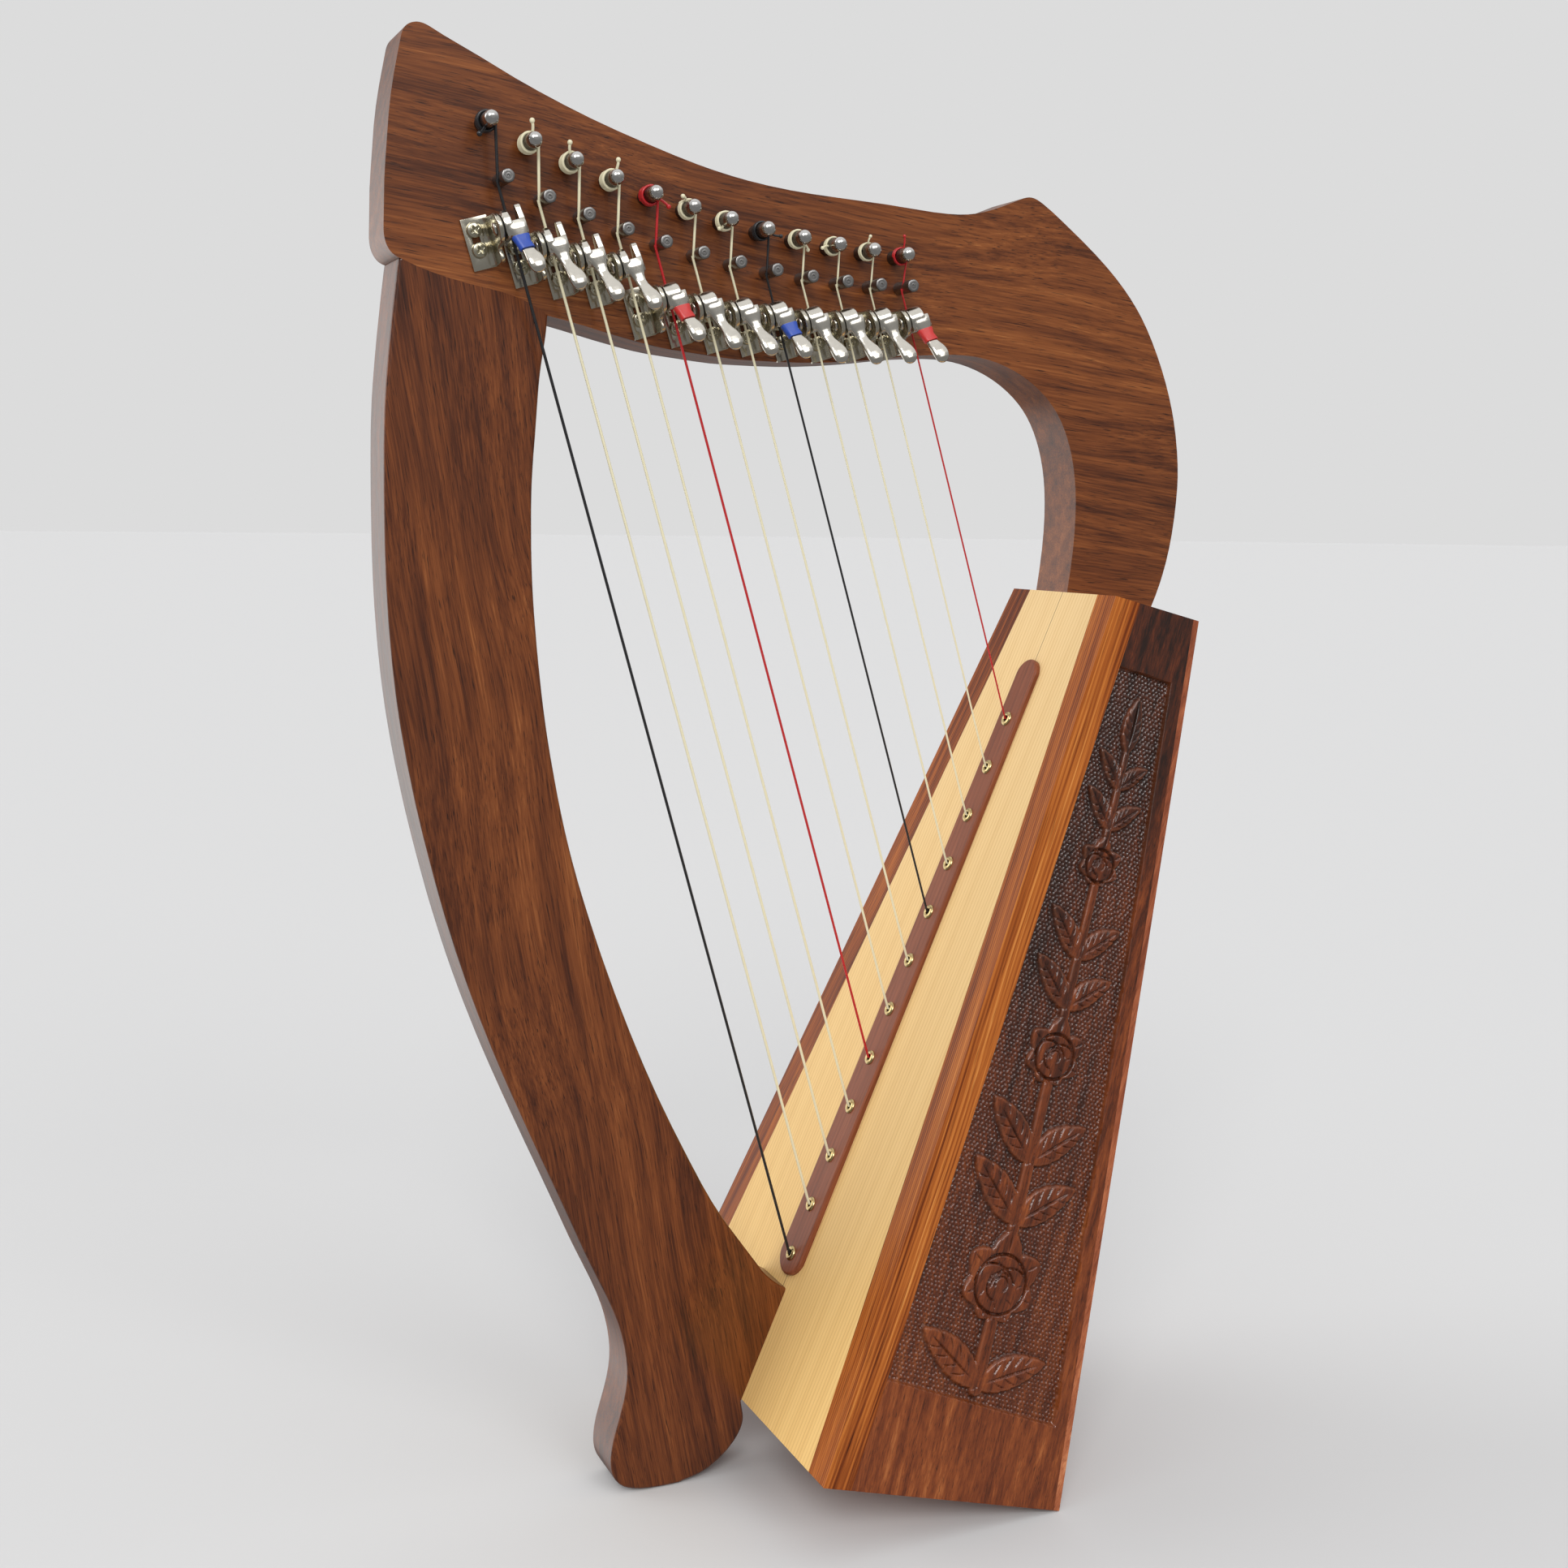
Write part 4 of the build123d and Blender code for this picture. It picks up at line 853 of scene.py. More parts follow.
# ------------------------------------------------------------------ strings
runs = {"nylon_natural": [], "nylon_black": [], "nylon_red": []}
for i in range(12):
    r = STRING_R[i]
    tx, tz = TUNING[i]
    top, corner, eye = strings[i]
    bx, bz = BRIDGE[i]
    R = PIN_R + r
    # tangent from the right-hand side of the tuning pin to the left-hand side of the bridge pin
    c1, c2 = np.array([tx, tz]), np.array([bx, bz])
    Rb = BRIDGE_R - 0.25 + r
    d = c2 - c1
    L = np.linalg.norm(d)
    ang = math.atan2(d[1], d[0])
    off = math.asin((R + Rb) / L)
    th = ang + off                                  # crossing tangent: leaves on the right, arrives on the left
    e = np.array([math.cos(th), math.sin(th)])
    nrm = np.array([-e[1], e[0]])                   # points to the right of a downward run
    p1 = c1 + nrm * R if (c1 + nrm * R)[0] > c1[0] else c1 - nrm * R
    p2 = c2 - nrm * Rb if (c2 - nrm * Rb)[0] < c2[0] else c2 + nrm * Rb
    # from the bridge pin to the eyelet
    target = np.array([eye[0], eye[2]])
    d2 = target - c2
    L2 = np.linalg.norm(d2)
    e2 = d2 / L2
    left = np.array([e2[1], -e2[0]])
    if left[0] > 0:
        left = -left
    a0 = math.atan2(p2[1] - c2[1], p2[0] - c2[0])
    a1 = math.atan2(left[1], left[0])
    if a1 - a0 > math.pi: a1 -= 2 * math.pi
    if a0 - a1 > math.pi: a1 += 2 * math.pi
    path = []
    y_top = STRING_Y - 0.6
    for k in range(9):
        t = k / 8
        path.append(np.array([p1[0] + (p2[0] - p1[0]) * t, y_top + 0.6 * t, p1[1] + (p2[1] - p1[1]) * t]))
    for k in range(1, 7):
        a = a0 + (a1 - a0) * k / 6
        path.append(np.array([c2[0] + Rb * math.cos(a), STRING_Y, c2[1] + Rb * math.sin(a)]))
    start = path[-1]
    for k in range(1, 33):
        t = k / 32
        path.append(start + (eye - start) * t)
    inside = on_board(i * PITCH, 4.5)
    for t in (0.12, 0.3, 0.6, 1.0):
        path.append(eye + (inside - eye) * t)
    runs[STRING_SLOT[i]].append(tube(path, r, 14))

    # turns on the pin: the last turn ends where the run leaves, the first starts at the pin's hole
    t1 = math.atan2(p1[1] - tz, p1[0] - tx)
    turns = [3.2, 3.8, 3.7, 3.9, 3.5, 3.3, 3.2, 2.8, 2.7, 2.7, 2.6, 2.4][i]
    n = int(turns * 30)
    coil = []
    pitch = 2 * r * 1.06
    y_hole = STRING_Y - 0.4
    for k in range(n + 1):
        a = t1 + 2 * math.pi * turns * k / n
        y = y_top + pitch * turns * k / n
        y = min(y, NECK_NEAR - r - 0.05)
        wob = 0.05 * math.sin(3.1 * a + i) + (0.35 * r if k > n * 0.8 and y >= NECK_NEAR - r - 0.06 else 0.0)
        coil.append(np.array([tx + (R + wob) * math.cos(a), y, tz + (R + wob) * math.sin(a)]))
    runs_mat = STRING_MAT[i]
    shells = [tube(coil, r, 12)]
    # tail: out of the hole, bent over, with its end melted to a bead
    tail_dir = {0: (-0.45, -0.89), 1: (0.10, 1.0), 2: (-0.34, 0.94), 3: (0.34, 0.94), 4: (0.88, -0.47), 5: (-0.5, 0.86), 6: (-0.6, -0.8),
                7: (0.93, -0.37), 8: (0.7, -0.7), 9: (-1.0, -0.1), 10: (-0.15, 1.0), 11: (0.10, 1.0)}[i]
    tail_len = [2.4, 3.2, 2.6, 3.1, 3.6, 1.3, 1.1, 3.2, 1.3, 2.2, 1.8, 3.8][i]
    dv = np.array([tail_dir[0], 0, tail_dir[1]])
    dv /= np.linalg.norm(dv)
    base = np.array([tx, y_top - 1.7 * r, tz])
    side = np.array([-dv[2], 0, dv[0]])
    q0 = base + dv * (PIN_R - 0.6)
    q1 = base + dv * (PIN_R + 0.5 + 0.25 * tail_len) + np.array([0, -0.4, 0])
    q2 = base + dv * (PIN_R + 0.6 + 0.7 * tail_len) + np.array([0, -0.9, 0]) + side * 0.25 * (1 if i % 2 else -1)
    q3 = base + dv * (PIN_R + 0.7 + tail_len) + np.array([0, -1.1, 0]) + side * 0.6 * (1 if i % 2 else -1)
    tp = smooth_path([q0, q1, q2, q3], 0.35)
    rr = [r] * len(tp)
    shells.append(tube(tp, rr, 12))
    bead_axis = (q3 - q2) / np.linalg.norm(q3 - q2)
    br = r * 1.75
    bead = [(0, -br * 0.95)] + [(br * math.sin(a), -br * math.cos(a) * 1.05) for a in np.linspace(0.3, math.pi - 0.3, 9)] + [(0, br * 0.95)]
    shells.append(lathe(bead, q3 + bead_axis * br * 0.6, bead_axis, 20))
    v, f = join(*shells)
    make(f"string_turns_{i + 1:02d}", v, f, runs_mat, f"tuning_pin_{i + 1:02d}", STRING_SLOT[i], 60.0)

for slot_name, mat, node in (("nylon_natural", m_natural, "strings_natural"), ("nylon_black", m_black, "strings_black"), ("nylon_red", m_red, "strings_red")):
    v, f = join(*runs[slot_name])
    make(node + "_runs", v, f, mat, "frame", slot_name, 60.0, [node])

# ------------------------------------------------------------------ carved side panels


def seg_dist(C, S, a, b):
    """Distance to a segment, and how far along it."""
    ax, ay = a
    bx_, by_ = b
    dx, dy = bx_ - ax, by_ - ay
    t = np.clip(((C - ax) * dx + (S - ay) * dy) / (dx * dx + dy * dy + 1e-12), 0, 1)
    return np.hypot(C - ax - t * dx, S - ay - t * dy), t


def stroke(C, S, pts, widths):
    """Signed distance to a curved stroke of changing half width."""
    path = smooth_path([(p[0], p[1], 0) for p in pts], 2.0)
    best = np.full(C.shape, 1e9)
    n = len(path)
    w_at = np.interp(np.linspace(0, 1, n), np.linspace(0, 1, len(widths)), widths)
    for k in range(n - 1):
        a, b_ = path[k], path[k + 1]
        lo = min(w_at[k], w_at[k + 1])
        d, t = seg_dist(C, S, a[:2], b_[:2])
        best = np.minimum(best, d - (w_at[k] * (1 - t) + w_at[k + 1] * t))
    return best


def inside_poly(C, S, poly):
    """Signed distance to a polygon, negative inside."""
    d = np.full(C.shape, 1e9)
    ins = np.zeros(C.shape, bool)
    n = len(poly)
    for k in range(n):
        a, b_ = poly[k], poly[(k + 1) % n]
        e, _ = seg_dist(C, S, a, b_)
        d = np.minimum(d, e)
        cond = (a[1] > S) != (b_[1] > S)
        with np.errstate(divide="ignore", invalid="ignore"):
            xc = (b_[0] - a[0]) * (S - a[1]) / (b_[1] - a[1] + 1e-12) + a[0]
        ins ^= cond & (C < xc)
    return np.where(ins, -d, d)


def step(x, w):
    """1 where x is well below zero, 0 above, with a slope of width w."""
    t = np.clip(0.5 - x / w, 0, 1)
    return t * t * (3 - 2 * t)


class Carving:
    def __init__(self, C, S):
        self.C, self.S = C, S
        self.motif = np.full(C.shape, 1e9)      # signed distance to everything left standing
        self.relief = np.zeros(C.shape)         # shape of the standing parts, downwards
        self.cuts = np.zeros(C.shape)           # grooves cut into them

    def add(self, sd):
        self.motif = np.minimum(self.motif, sd)

    def cut(self, a, b, width=0.55, deep=0.8, bend=0.0):
        """A gouge from a to b that starts and ends in a point."""
        a, b = np.array(a, float), np.array(b, float)
        lo = np.minimum(a, b) - 3 - abs(bend)
        hi = np.maximum(a, b) + 3 + abs(bend)
        m = (self.C > lo[0]) & (self.C < hi[0]) & (self.S > lo[1]) & (self.S < hi[1])
        if not m.any():
            return
        C, S = self.C[m], self.S[m]
        L = np.linalg.norm(b - a)
        n = np.array([-(b - a)[1], (b - a)[0]]) / L
        best = np.zeros(C.shape)
        pts = [a + (b - a) * t + n * bend * math.sin(math.pi * t) for t in np.linspace(0, 1, 9)]
        for k in range(8):
            d, t = seg_dist(C, S, pts[k], pts[k + 1])
            u = (k + t) / 8
            w = width * np.sqrt(np.clip(np.sin(math.pi * np.clip(u, 0.02, 0.98)), 0.05, 1))
            best = np.maximum(best, deep * np.clip(1 - d / w, 0, 1) * np.sqrt(np.clip(np.sin(math.pi * np.clip(u, 0.02, 0.98)), 0.05, 1)))
        self.cuts[m] = np.maximum(self.cuts[m], best)

    def ring(self, c, s, r, width=0.6, deep=0.9, a0=0.0, a1=2 * math.pi, spiral=0.0, inside=None, drop=0.0):
        """An arc of groove. Its outer side is lower by drop, so that the inner petal lies over the outer one."""
        n = max(8, int(abs(a1 - a0) * r / 1.2))
        pts = []
        for k in range(n + 1):
            a = a0 + (a1 - a0) * k / n
            rr = r + spiral * k / n
            pts.append((c + rr * math.cos(a), s + rr * math.sin(a)))
        m = (abs(self.C - c) < r + abs(spiral) + 3) & (abs(self.S - s) < r + abs(spiral) + 3)
        C, S = self.C[m], self.S[m]
        d = np.full(C.shape, 1e9)
        for a, b in zip(pts, pts[1:]):
            d = np.minimum(d, seg_dist(C, S, a, b)[0])
        keep = np.ones(C.shape, bool) if inside is None else np.hypot(C - inside[0], S - inside[1]) < inside[2]
        groove = deep * np.clip(1 - d / width, 0, 1) ** 0.8
        self.cuts[m] = np.maximum(self.cuts[m], np.where(keep, groove, 0))
        if drop:
            out = np.hypot(C - c, S - s) > r
            self.relief[m] = self.relief[m] + np.where(keep & out, drop * np.exp(-d / 1.7), 0)

    def leaf(self, base, tip, width, lean=0.0, veins=4, notch=0.45):
        """A pointed leaf with a serrated edge, a midrib and side veins."""
        base, tip = np.array(base, float), np.array(tip, float)
        L = np.linalg.norm(tip - base)
        e = (tip - base) / L
        n = np.array([-e[1], e[0]])
        a = ((self.C - base[0]) * e[0] + (self.S - base[1]) * e[1]) / L
        bend = lean * np.sin(math.pi * np.clip(a, 0, 1))
        b = (self.C - base[0]) * n[0] + (self.S - base[1]) * n[1] - bend
        aa = np.clip(a, 0, 1)
        w = width * np.sin(math.pi * aa ** 0.82) ** 0.72
        saw = notch * ((aa * 6.5) % 1.0 - 0.5) * (aa > 0.12) * (aa < 0.96)
        sd = np.abs(b) - w - saw
        sd = np.where((a < 0) | (a > 1), np.hypot(np.abs(b), np.where(a < 0, -a, a - 1) * L), sd)
        self.add(sd * 0.85)
        inside = (sd < 0.5) & (a > 0) & (a < 1)
        k = np.abs(b) / (w + 0.4)
        # cupped blades either side of the rib, lower at the edge
        self.relief = np.where(inside, np.maximum(self.relief, 0.55 * k ** 2 + 0.30 * np.exp(-(b / 1.1) ** 2)), self.relief)
        pt = lambda t, off: base + e * L * t + n * (lean * math.sin(math.pi * t) + off)
        self.cut(pt(0.12, 0), pt(0.88, 0), 0.75, 1.25, bend=0.0)
        for k2 in range(veins):
            t = 0.22 + 0.15 * k2
            ww = width * math.sin(math.pi * (t + 0.1) ** 0.82) ** 0.72
            for sgn in (-1, 1):
                self.cut(pt(t, sgn * 0.9), pt(t + 0.17, sgn * ww * 0.84), 0.55, 0.9, bend=0.4 * sgn)

    def rose(self, c, s, r, turn):
        """A generic rose: a round bud of overlapping petals in a crown of pointed outer ones."""
        C, S = self.C, self.S
        crown = [(2.75, 1.36, 0.58), (-2.75, 1.36, 0.58), (1.90, 1.54, 0.64), (-1.90, 1.54, 0.64), (0.98, 1.72, 0.66), (-0.98, 1.72, 0.66),
                 (0.0, 1.92, 0.66)]
        for da, reach, wide in crown:
            a = turn + da
            tip = (c + r * reach * math.cos(a), s + r * reach * math.sin(a))
            base = (c + r * 0.15 * math.cos(a), s + r * 0.15 * math.sin(a))
            L = math.hypot(tip[0] - base[0], tip[1] - base[1])
            e = ((tip[0] - base[0]) / L, (tip[1] - base[1]) / L)
            t = ((C - base[0]) * e[0] + (S - base[1]) * e[1]) / L
            b = -(C - base[0]) * e[1] + (S - base[1]) * e[0]
            tt = np.clip(t, 0, 1)
            w = r * wide * np.sin(math.pi * tt ** 0.9) ** 0.62 + 0.35 * ((tt * 5.2) % 1.0 - 0.5) * (tt > 0.5) * (tt < 0.95)
            sd = np.abs(b) - w
            sd = np.where((t < 0) | (t > 1), np.hypot(b, np.where(t < 0, -t, t - 1) * L), sd)
            self.add(sd * 0.85)
            inside = (sd < 0.3) & (t > 0) & (t < 1)
            shade = 0.20 + 0.80 * np.clip(np.abs(b) / (w + 0.5), 0, 1) ** 2 + 0.5 * np.clip(1 - (np.hypot(C - c, S - s) / r - 1) / 0.35, 0, 1)
            self.relief = np.where(inside, shade, self.relief)
            ca, sa = math.cos(a), math.sin(a)
            self.cut((c + r * 1.12 * ca, s + r * 1.12 * sa), (c + r * (reach - 0.12) * ca, s + r * (reach - 0.12) * sa), 0.55, 0.95)
        d = np.hypot(C - c, S - s)
        self.add(d - r * 1.2)
        ins = d < r
        self.relief = np.where(ins, 0.85 * (d / r) ** 2.6, self.relief)
        self.ring(c, s, r * 1.04, 0.85, 1.6)
        to = lambda q, k: (c + r * k * math.cos(turn + q), s + r * k * math.sin(turn + q))
        mask = (c, s, r * 0.97)
        # outer petals fold in from both sides, inner ones wrap a small heart
        self.ring(*to(2.25, 0.50), r * 0.98, 0.62, 1.15, turn - 1.15, turn + 1.35, 0.0, mask, 0.5)
        self.ring(*to(-2.05, 0.42), r * 0.80, 0.62, 1.15, turn - 1.35, turn + 1.45, 0.0, mask, 0.5)
        self.ring(*to(2.7, 0.10), r * 0.50, 0.58, 1.1, turn - 0.6, turn + 2.9, 0.0, mask, 0.45)
        self.ring(*to(0.0, 0.02), r * 0.26, 0.52, 1.0, turn - 2.6, turn + 1.9, 0.0, mask, 0.3)
        for q, k0, k1 in ((0.15, 0.62, 0.92), (1.9, 0.66, 0.94), (-2.6, 0.55, 0.90), (-1.7, 0.62, 0.92), (2.9, 0.60, 0.92)):
            self.cut(to(q, k0), to(q + 0.22, k1), 0.48, 0.8, 0.5)


def carve(C, S):
    """Depth below the panel's face at (c, s), the field's own depth, 0 to 1, which also sets the painted shade of the
    ground and the cuts, and the masks of the painted highlight on the carving's edges and of the painted shade in its
    pits.
    """
    k = Carving(C, S)
    field = [(13.4, 296.0), (41.2, 299.5), (102.1, -20.0), (13.4, -20.0)]
    sd_field = inside_poly(C, S, field)
    # a plain regular pattern: straight stem, paired leaves, three rosettes, all set by the field's width
    far = lambda s: 41.2 + (299.5 - s) * 0.1907
    mid = lambda s: (13.4 + far(s)) / 2
    half = lambda s: (far(s) - 13.4) / 2
    k.add(stroke(C, S, [(mid(s), s) for s in (-14.0, 60.0, 134.0, 208.0, 284.0)], [3.4, 3.0, 2.6, 2.2, 1.7]))
    for s0, rise, width, veins in ((-13.0, 17.0, 7.4, 4), (56.0, 22.0, 7.4, 4), (82.0, 22.0, 7.0, 4), (149.0, 18.0, 5.8, 4), (171.0, 18.0, 5.4, 4),
                                   (228.0, 15.0, 4.4, 3), (246.0, 14.0, 4.0, 3)):
        for sgn in (-1, 1):
            reach = 0.78 * half(s0 + rise)
            k.leaf((mid(s0), s0), (mid(s0 + rise) + sgn * reach, s0 + rise), width, lean=1.2 * sgn, veins=veins)
    k.leaf((mid(262.0), 262.0), (mid(288.0), 288.0), 5.2, veins=3)
    for s0 in (30.0, 128.0, 212.0):
        k.rose(mid(s0), s0, 0.31 * half(s0), math.radians(95))
    standing = step(k.motif, 1.1)
    in_field = step(sd_field, 0.9)
    # punched ground: dimples on a jittered close-packed grid
    pitch = 1.95
    row = np.round(S / (pitch * 0.87)).astype(int)
    best = np.full(C.shape, 9.0)
    for dr in (-1, 0, 1):
        rr = row + dr
        shift = np.where(rr % 2 == 0, 0.0, pitch / 2)
        col = np.round((C - shift) / pitch).astype(int)
        for dc in (-1, 0, 1):
            cc = col + dc
            h1 = np.sin(cc * 127.1 + rr * 311.7) * 43758.5453
            h2 = np.sin(cc * 269.5 + rr * 183.3) * 43758.5453
            jx = (h1 - np.floor(h1) - 0.5) * 0.6
            jy = (h2 - np.floor(h2) - 0.5) * 0.6
            best = np.minimum(best, np.hypot(C - (cc * pitch + shift + jx), S - (rr * pitch * 0.87 + jy)))
    dimple = np.clip(1 - (best / 0.92) ** 2, 0, 1)
    sunk = 1.95 + 0.62 * dimple
    # the ground is dished a little deeper next to whatever stands, as a gouge leaves it
    sunk = sunk + 0.30 * np.exp(-np.clip(k.motif, 0, 9) / 1.3)
    round_off = 0.75 * np.clip(1 + k.motif / 1.7, 0, 1) ** 2
    top = k.relief * 0.80 + k.cuts + round_off
    depth_mm = in_field * ((1 - standing) * sunk + standing * top) + (1 - in_field) * k.cuts
    # the field's depth also masks the painted shade of the ground and the cuts
    deep = in_field * (1 - standing) + np.clip(k.cuts, 0, 1) * standing * 0.9 + (1 - in_field) * np.clip(k.cuts, 0, 1) * 0.9
    # painted highlight mask along the carving's edges and the field's border
    edge = np.exp(-((k.motif + 0.8) / 0.5) ** 2) * in_field + np.exp(-(sd_field / 0.5) ** 2) * 0.6
    # painted shade mask: the dimples, a band round the foot of the standing motif, and the cuts
    pits = in_field * (1 - standing) * dimple ** 1.5 + in_field * np.exp(-((k.motif - 0.5) / 0.6) ** 2) * 0.9
    pits = pits + np.clip(k.cuts, 0, 1) * (in_field * standing + 1 - in_field) * 0.75
    return depth_mm, np.clip(deep, 0, 1), np.clip(edge, 0, 1), np.clip(pits, 0, 1)


def corner(c_front, low):
    """(s, c) of a panel corner."""
    if c_front:
        return ((S_BOT + CUT_BOT * RIM_D) if low else (S_TOP + CUT_TOP * RIM_D), RIM_D)
    cut, s0 = (CUT_BOT, S_BOT) if low else (CUT_TOP, S_TOP)
    c = (C0 - BACK_T - C_TAPER * s0) / (1 + C_TAPER * cut)
    return s0 + cut * c, c


def side_panel(sign, name, node):
    fl, rl, fh, rh = corner(True, True), corner(False, True), corner(True, False), corner(False, False)
    cell = 0.45
    nu, nt = int(395 / cell), int(103 / cell)
    u = np.linspace(0, 1, nu)[:, None]
    t = np.linspace(0, 1, nt)[None, :]
    S = (fl[0] * (1 - t) + rl[0] * t) * (1 - u) + (fh[0] * (1 - t) + rh[0] * t) * u
    C = (fl[1] * (1 - t) + rl[1] * t) * (1 - u) + (fh[1] * (1 - t) + rh[1] * t) * u
    depth_mm, deep, edge, pits = carve(C, S)
    side_dir = U + sign * YY * -TAPER
    side_dir = side_dir / np.linalg.norm(side_dir)
    nrm = np.cross(side_dir, V) if sign < 0 else np.cross(V, side_dir)
    nrm = nrm / np.linalg.norm(nrm)
    if nrm[1] * sign > 0:
        nrm = -nrm                                  # into the box
    half = (W0 + RIM - TAPER * S)
    P = O + S[..., None] * U + C[..., None] * V + sign * half[..., None] * YY
    outer = P + nrm * depth_mm[..., None]
    inner = P + nrm * SIDE_T
    verts = outer.reshape(-1, 3)
    idx = np.arange(nu * nt).reshape(nu, nt)
    a, b, c, d = idx[:-1, :-1], idx[1:, :-1], idx[1:, 1:], idx[:-1, 1:]
    quads = np.stack([a, b, c, d], -1).reshape(-1, 4)
    if sign > 0:
        quads = quads[:, ::-1]
    # the border runs round the panel, and the back and edges hang on it
    border = list(idx[0, :]) + list(idx[1:, -1]) + list(idx[-1, -2::-1]) + list(idx[-2:0:-1, 0])
    ring2 = inner.reshape(-1, 3)[border]
    k0 = len(verts)
    verts = np.vstack([verts, ring2])
    m = len(border)
    faces = [tuple(q) for q in quads.tolist()]
    for j in range(m):
        j2 = (j + 1) % m
        q = (int(border[j]), int(border[j2]), k0 + j2, k0 + j)
        faces.append(q if sign < 0 else q[::-1])
    back = tuple(k0 + j for j in range(m))
    faces.append(back if sign < 0 else back[::-1])
    ob = make(name, verts, faces, m_side, "frame", "side_wood", 60.0, [node])
    me = ob.data
    # masks for the roughness and for the carving's painted shade and painted highlight
    for attr, values in (("depth", deep), ("edge_highlight", edge), ("pits", pits)):
        at = me.attributes.new(attr, "FLOAT", "POINT")
        full = np.zeros(len(me.vertices), np.float32)
        full[:nu * nt] = values.reshape(-1)
        at.data.foreach_set("value", full)
    return ob


side_panel(-1, "side_panel_left_carved", "side_panel_left")
side_panel(1, "side_panel_right_carved", "side_panel_right")

# ------------------------------------------------------------------ finishes of the CAD nodes that stay
CAD_MATS = {"neck": m_neck, "pillar": m_pillar, "soundboard": m_spruce, "string_rib": m_rib, "back_panel": m_back,
            "edge_strip_left": m_strip_left, "edge_strip_right": m_strip_far_shaded, "bottom_block": m_back, "top_block": m_inner,
            "pillar_block": m_inner, "back_braces": m_inner, "inner_string_strip": m_inner, "pillar_dowels": m_inner,
            "soundboard_lining_left": m_inner, "soundboard_lining_right": m_inner, "string_knots": m_natural,
            "neck_screws": m_screw, "pillar_screws": m_screw}
for i in range(12):
    CAD_MATS[f"tuning_pin_{i + 1:02d}"] = m_pin
for node, mat in CAD_MATS.items():
    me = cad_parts[node].data
    me.materials.clear()
    me.materials.append(mat)
    me.polygons.foreach_set("use_smooth", [True] * len(me.polygons))

# ------------------------------------------------------------------ floor, light, camera
fl = bpy.data.meshes.new("floor")
seg, rings = 64, [0.0, 0.6, 1.5, 4.0, 12.0, 40.0]
fv = [(0, 0, 0)] + [(r * math.cos(2 * math.pi * k / seg), r * math.sin(2 * math.pi * k / seg), 0) for r in rings[1:] for k in range(seg)]
ff = [(0, 1 + k, 1 + (k + 1) % seg) for k in range(seg)]
for j in range(len(rings) - 2):
    ff += [(1 + j * seg + k, 1 + (j + 1) * seg + k, 1 + (j + 1) * seg + (k + 1) % seg, 1 + j * seg + (k + 1) % seg) for k in range(seg)]
fl.from_pydata(fv, [], ff)
floor = bpy.data.objects.new("floor", fl)
floor.location.z = cad_lo.z - 0.0002
scene.collection.objects.link(floor)
n = Nodes("pale_floor")
n.base((0.638, 0.638, 0.637, 1))
n.set(Roughness=1.0)
n.bsdf.inputs["Specular IOR Level"].default_value = 0.0
fl.materials.append(n.mat)
floor.visible_glossy = False

world = bpy.data.worlds.new("studio")
scene.world = world
world.use_nodes = True
w = world.node_tree
w.nodes.clear()
wo = w.nodes.new("ShaderNodeOutputWorld")
seen, around, pick = w.nodes.new("ShaderNodeBackground"), w.nodes.new("ShaderNodeBackground"), w.nodes.new("ShaderNodeMixShader")
lp, tc = w.nodes.new("ShaderNodeLightPath"), w.nodes.new("ShaderNodeTexCoord")
sp, rp = w.nodes.new("ShaderNodeSeparateXYZ"), w.nodes.new("ShaderNodeValToRGB")
w.links.new(tc.outputs["Generated"], sp.inputs[0])
w.links.new(sp.outputs["Z"], rp.inputs[0])
e = rp.color_ramp.elements
e[0].position, e[0].color = 0.0, (0.24, 0.24, 0.24, 1)
e[1].position, e[1].color = 1.0, (0.95, 0.95, 0.96, 1)
e.new(0.35).color = (0.34, 0.34, 0.34, 1)
e.new(0.60).color = (0.80, 0.80, 0.81, 1)
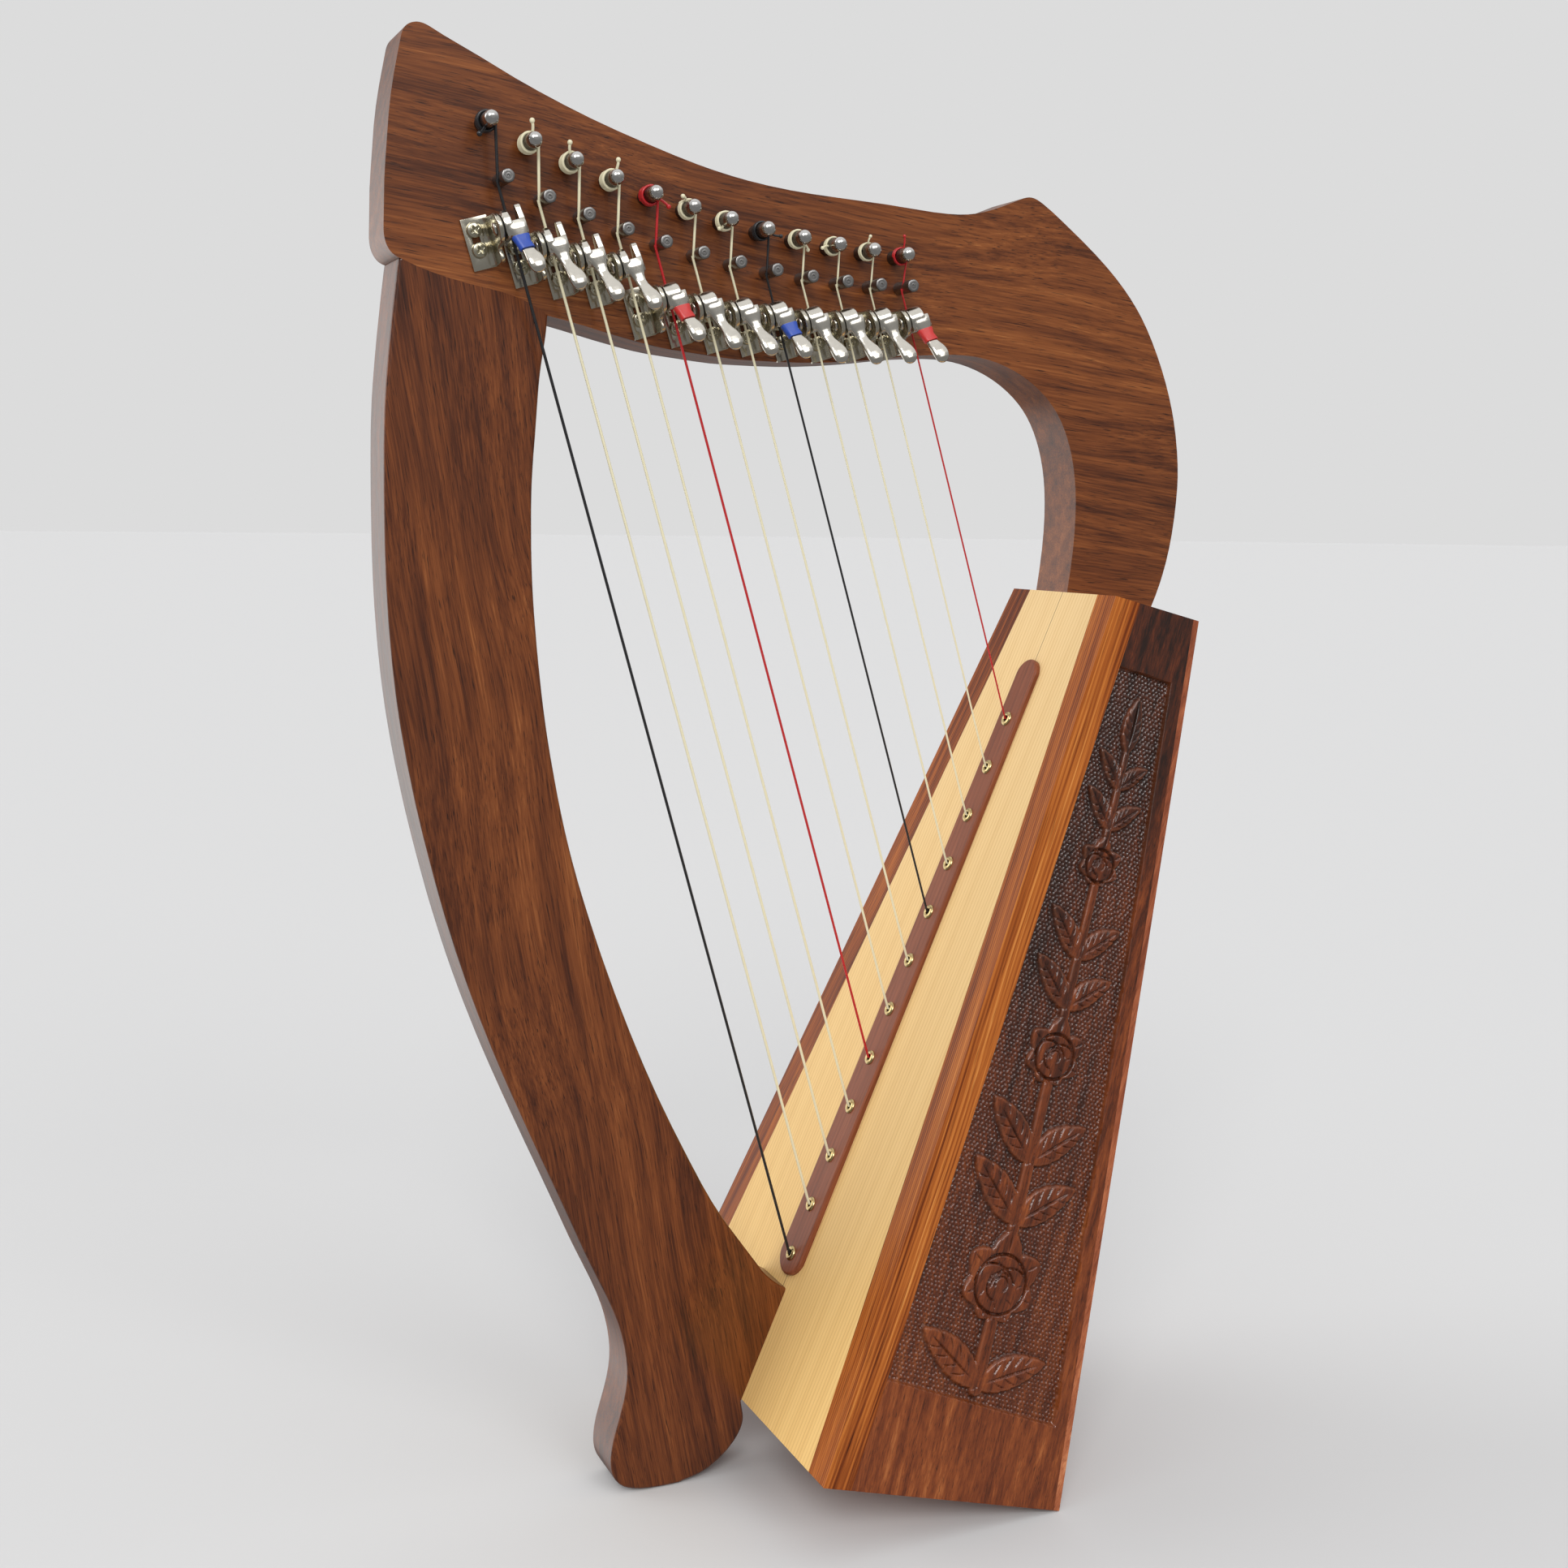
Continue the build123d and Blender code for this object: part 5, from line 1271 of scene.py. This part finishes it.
# a pale screen behind the harp on its left, seen only in the gloss of its edges
dot, screen, both = w.nodes.new("ShaderNodeVectorMath"), w.nodes.new("ShaderNodeMapRange"), w.nodes.new("ShaderNodeMix")
dot.operation = "DOT_PRODUCT"
dot.inputs[1].default_value = Vector((-0.42, 0.90, -0.12)).normalized()
w.links.new(tc.outputs["Generated"], dot.inputs[0])
w.links.new(dot.outputs["Value"], screen.inputs[0])
for k, v in enumerate((0.86, 0.97, 0.0, 1.0)):
    screen.inputs[k + 1].default_value = v
both.data_type = "RGBA"
both.inputs[7].default_value = (1.3, 1.3, 1.28, 1)
w.links.new(screen.outputs[0], both.inputs[0])
w.links.new(rp.outputs[0], both.inputs[6])
w.links.new(both.outputs[2], around.inputs[0])
seen.inputs[0].default_value = (0.716, 0.716, 0.716, 1)
w.links.new(lp.outputs["Is Camera Ray"], pick.inputs[0])
w.links.new(around.outputs[0], pick.inputs[1])
w.links.new(seen.outputs[0], pick.inputs[2])
w.links.new(pick.outputs[0], wo.inputs[0])


def sun(name, towards, strength, angle):
    li = bpy.data.lights.new(name, "SUN")
    li.energy = strength
    li.angle = math.radians(angle)
    ob = bpy.data.objects.new(name, li)
    ob.location = Vector(towards) * 2
    ob.rotation_euler = Vector(towards).to_track_quat("Z", "Y").to_euler()
    scene.collection.objects.link(ob)
    return ob


sun("key", (-0.42, -0.74, 0.56), 1.30, 26)
sun("front", (0.20, -0.82, 0.54), 0.50, 26)
sun("rim", (-0.84, 0.42, 0.34), 0.95, 40)

cam = bpy.data.cameras.new("camera")
cam.sensor_width = 36.0
cam.lens = 44.94
cam.clip_start, cam.clip_end = 0.01, 200.0
cam_ob = bpy.data.objects.new("camera", cam)
right = Vector((0.916196932, -0.400611287, 0.00968389466))
down = Vector((-0.0455574134, -0.128137898, -0.990709443))
fwd = Vector((0.398130259, 0.907243780, -0.135650363))
rot = Matrix((right, -down, -fwd)).transposed()
cam_ob.matrix_world = Matrix.Translation(Vector((-0.34981, -0.77029, 0.42574))) @ rot.to_4x4()
scene.collection.objects.link(cam_ob)
scene.camera = cam_ob
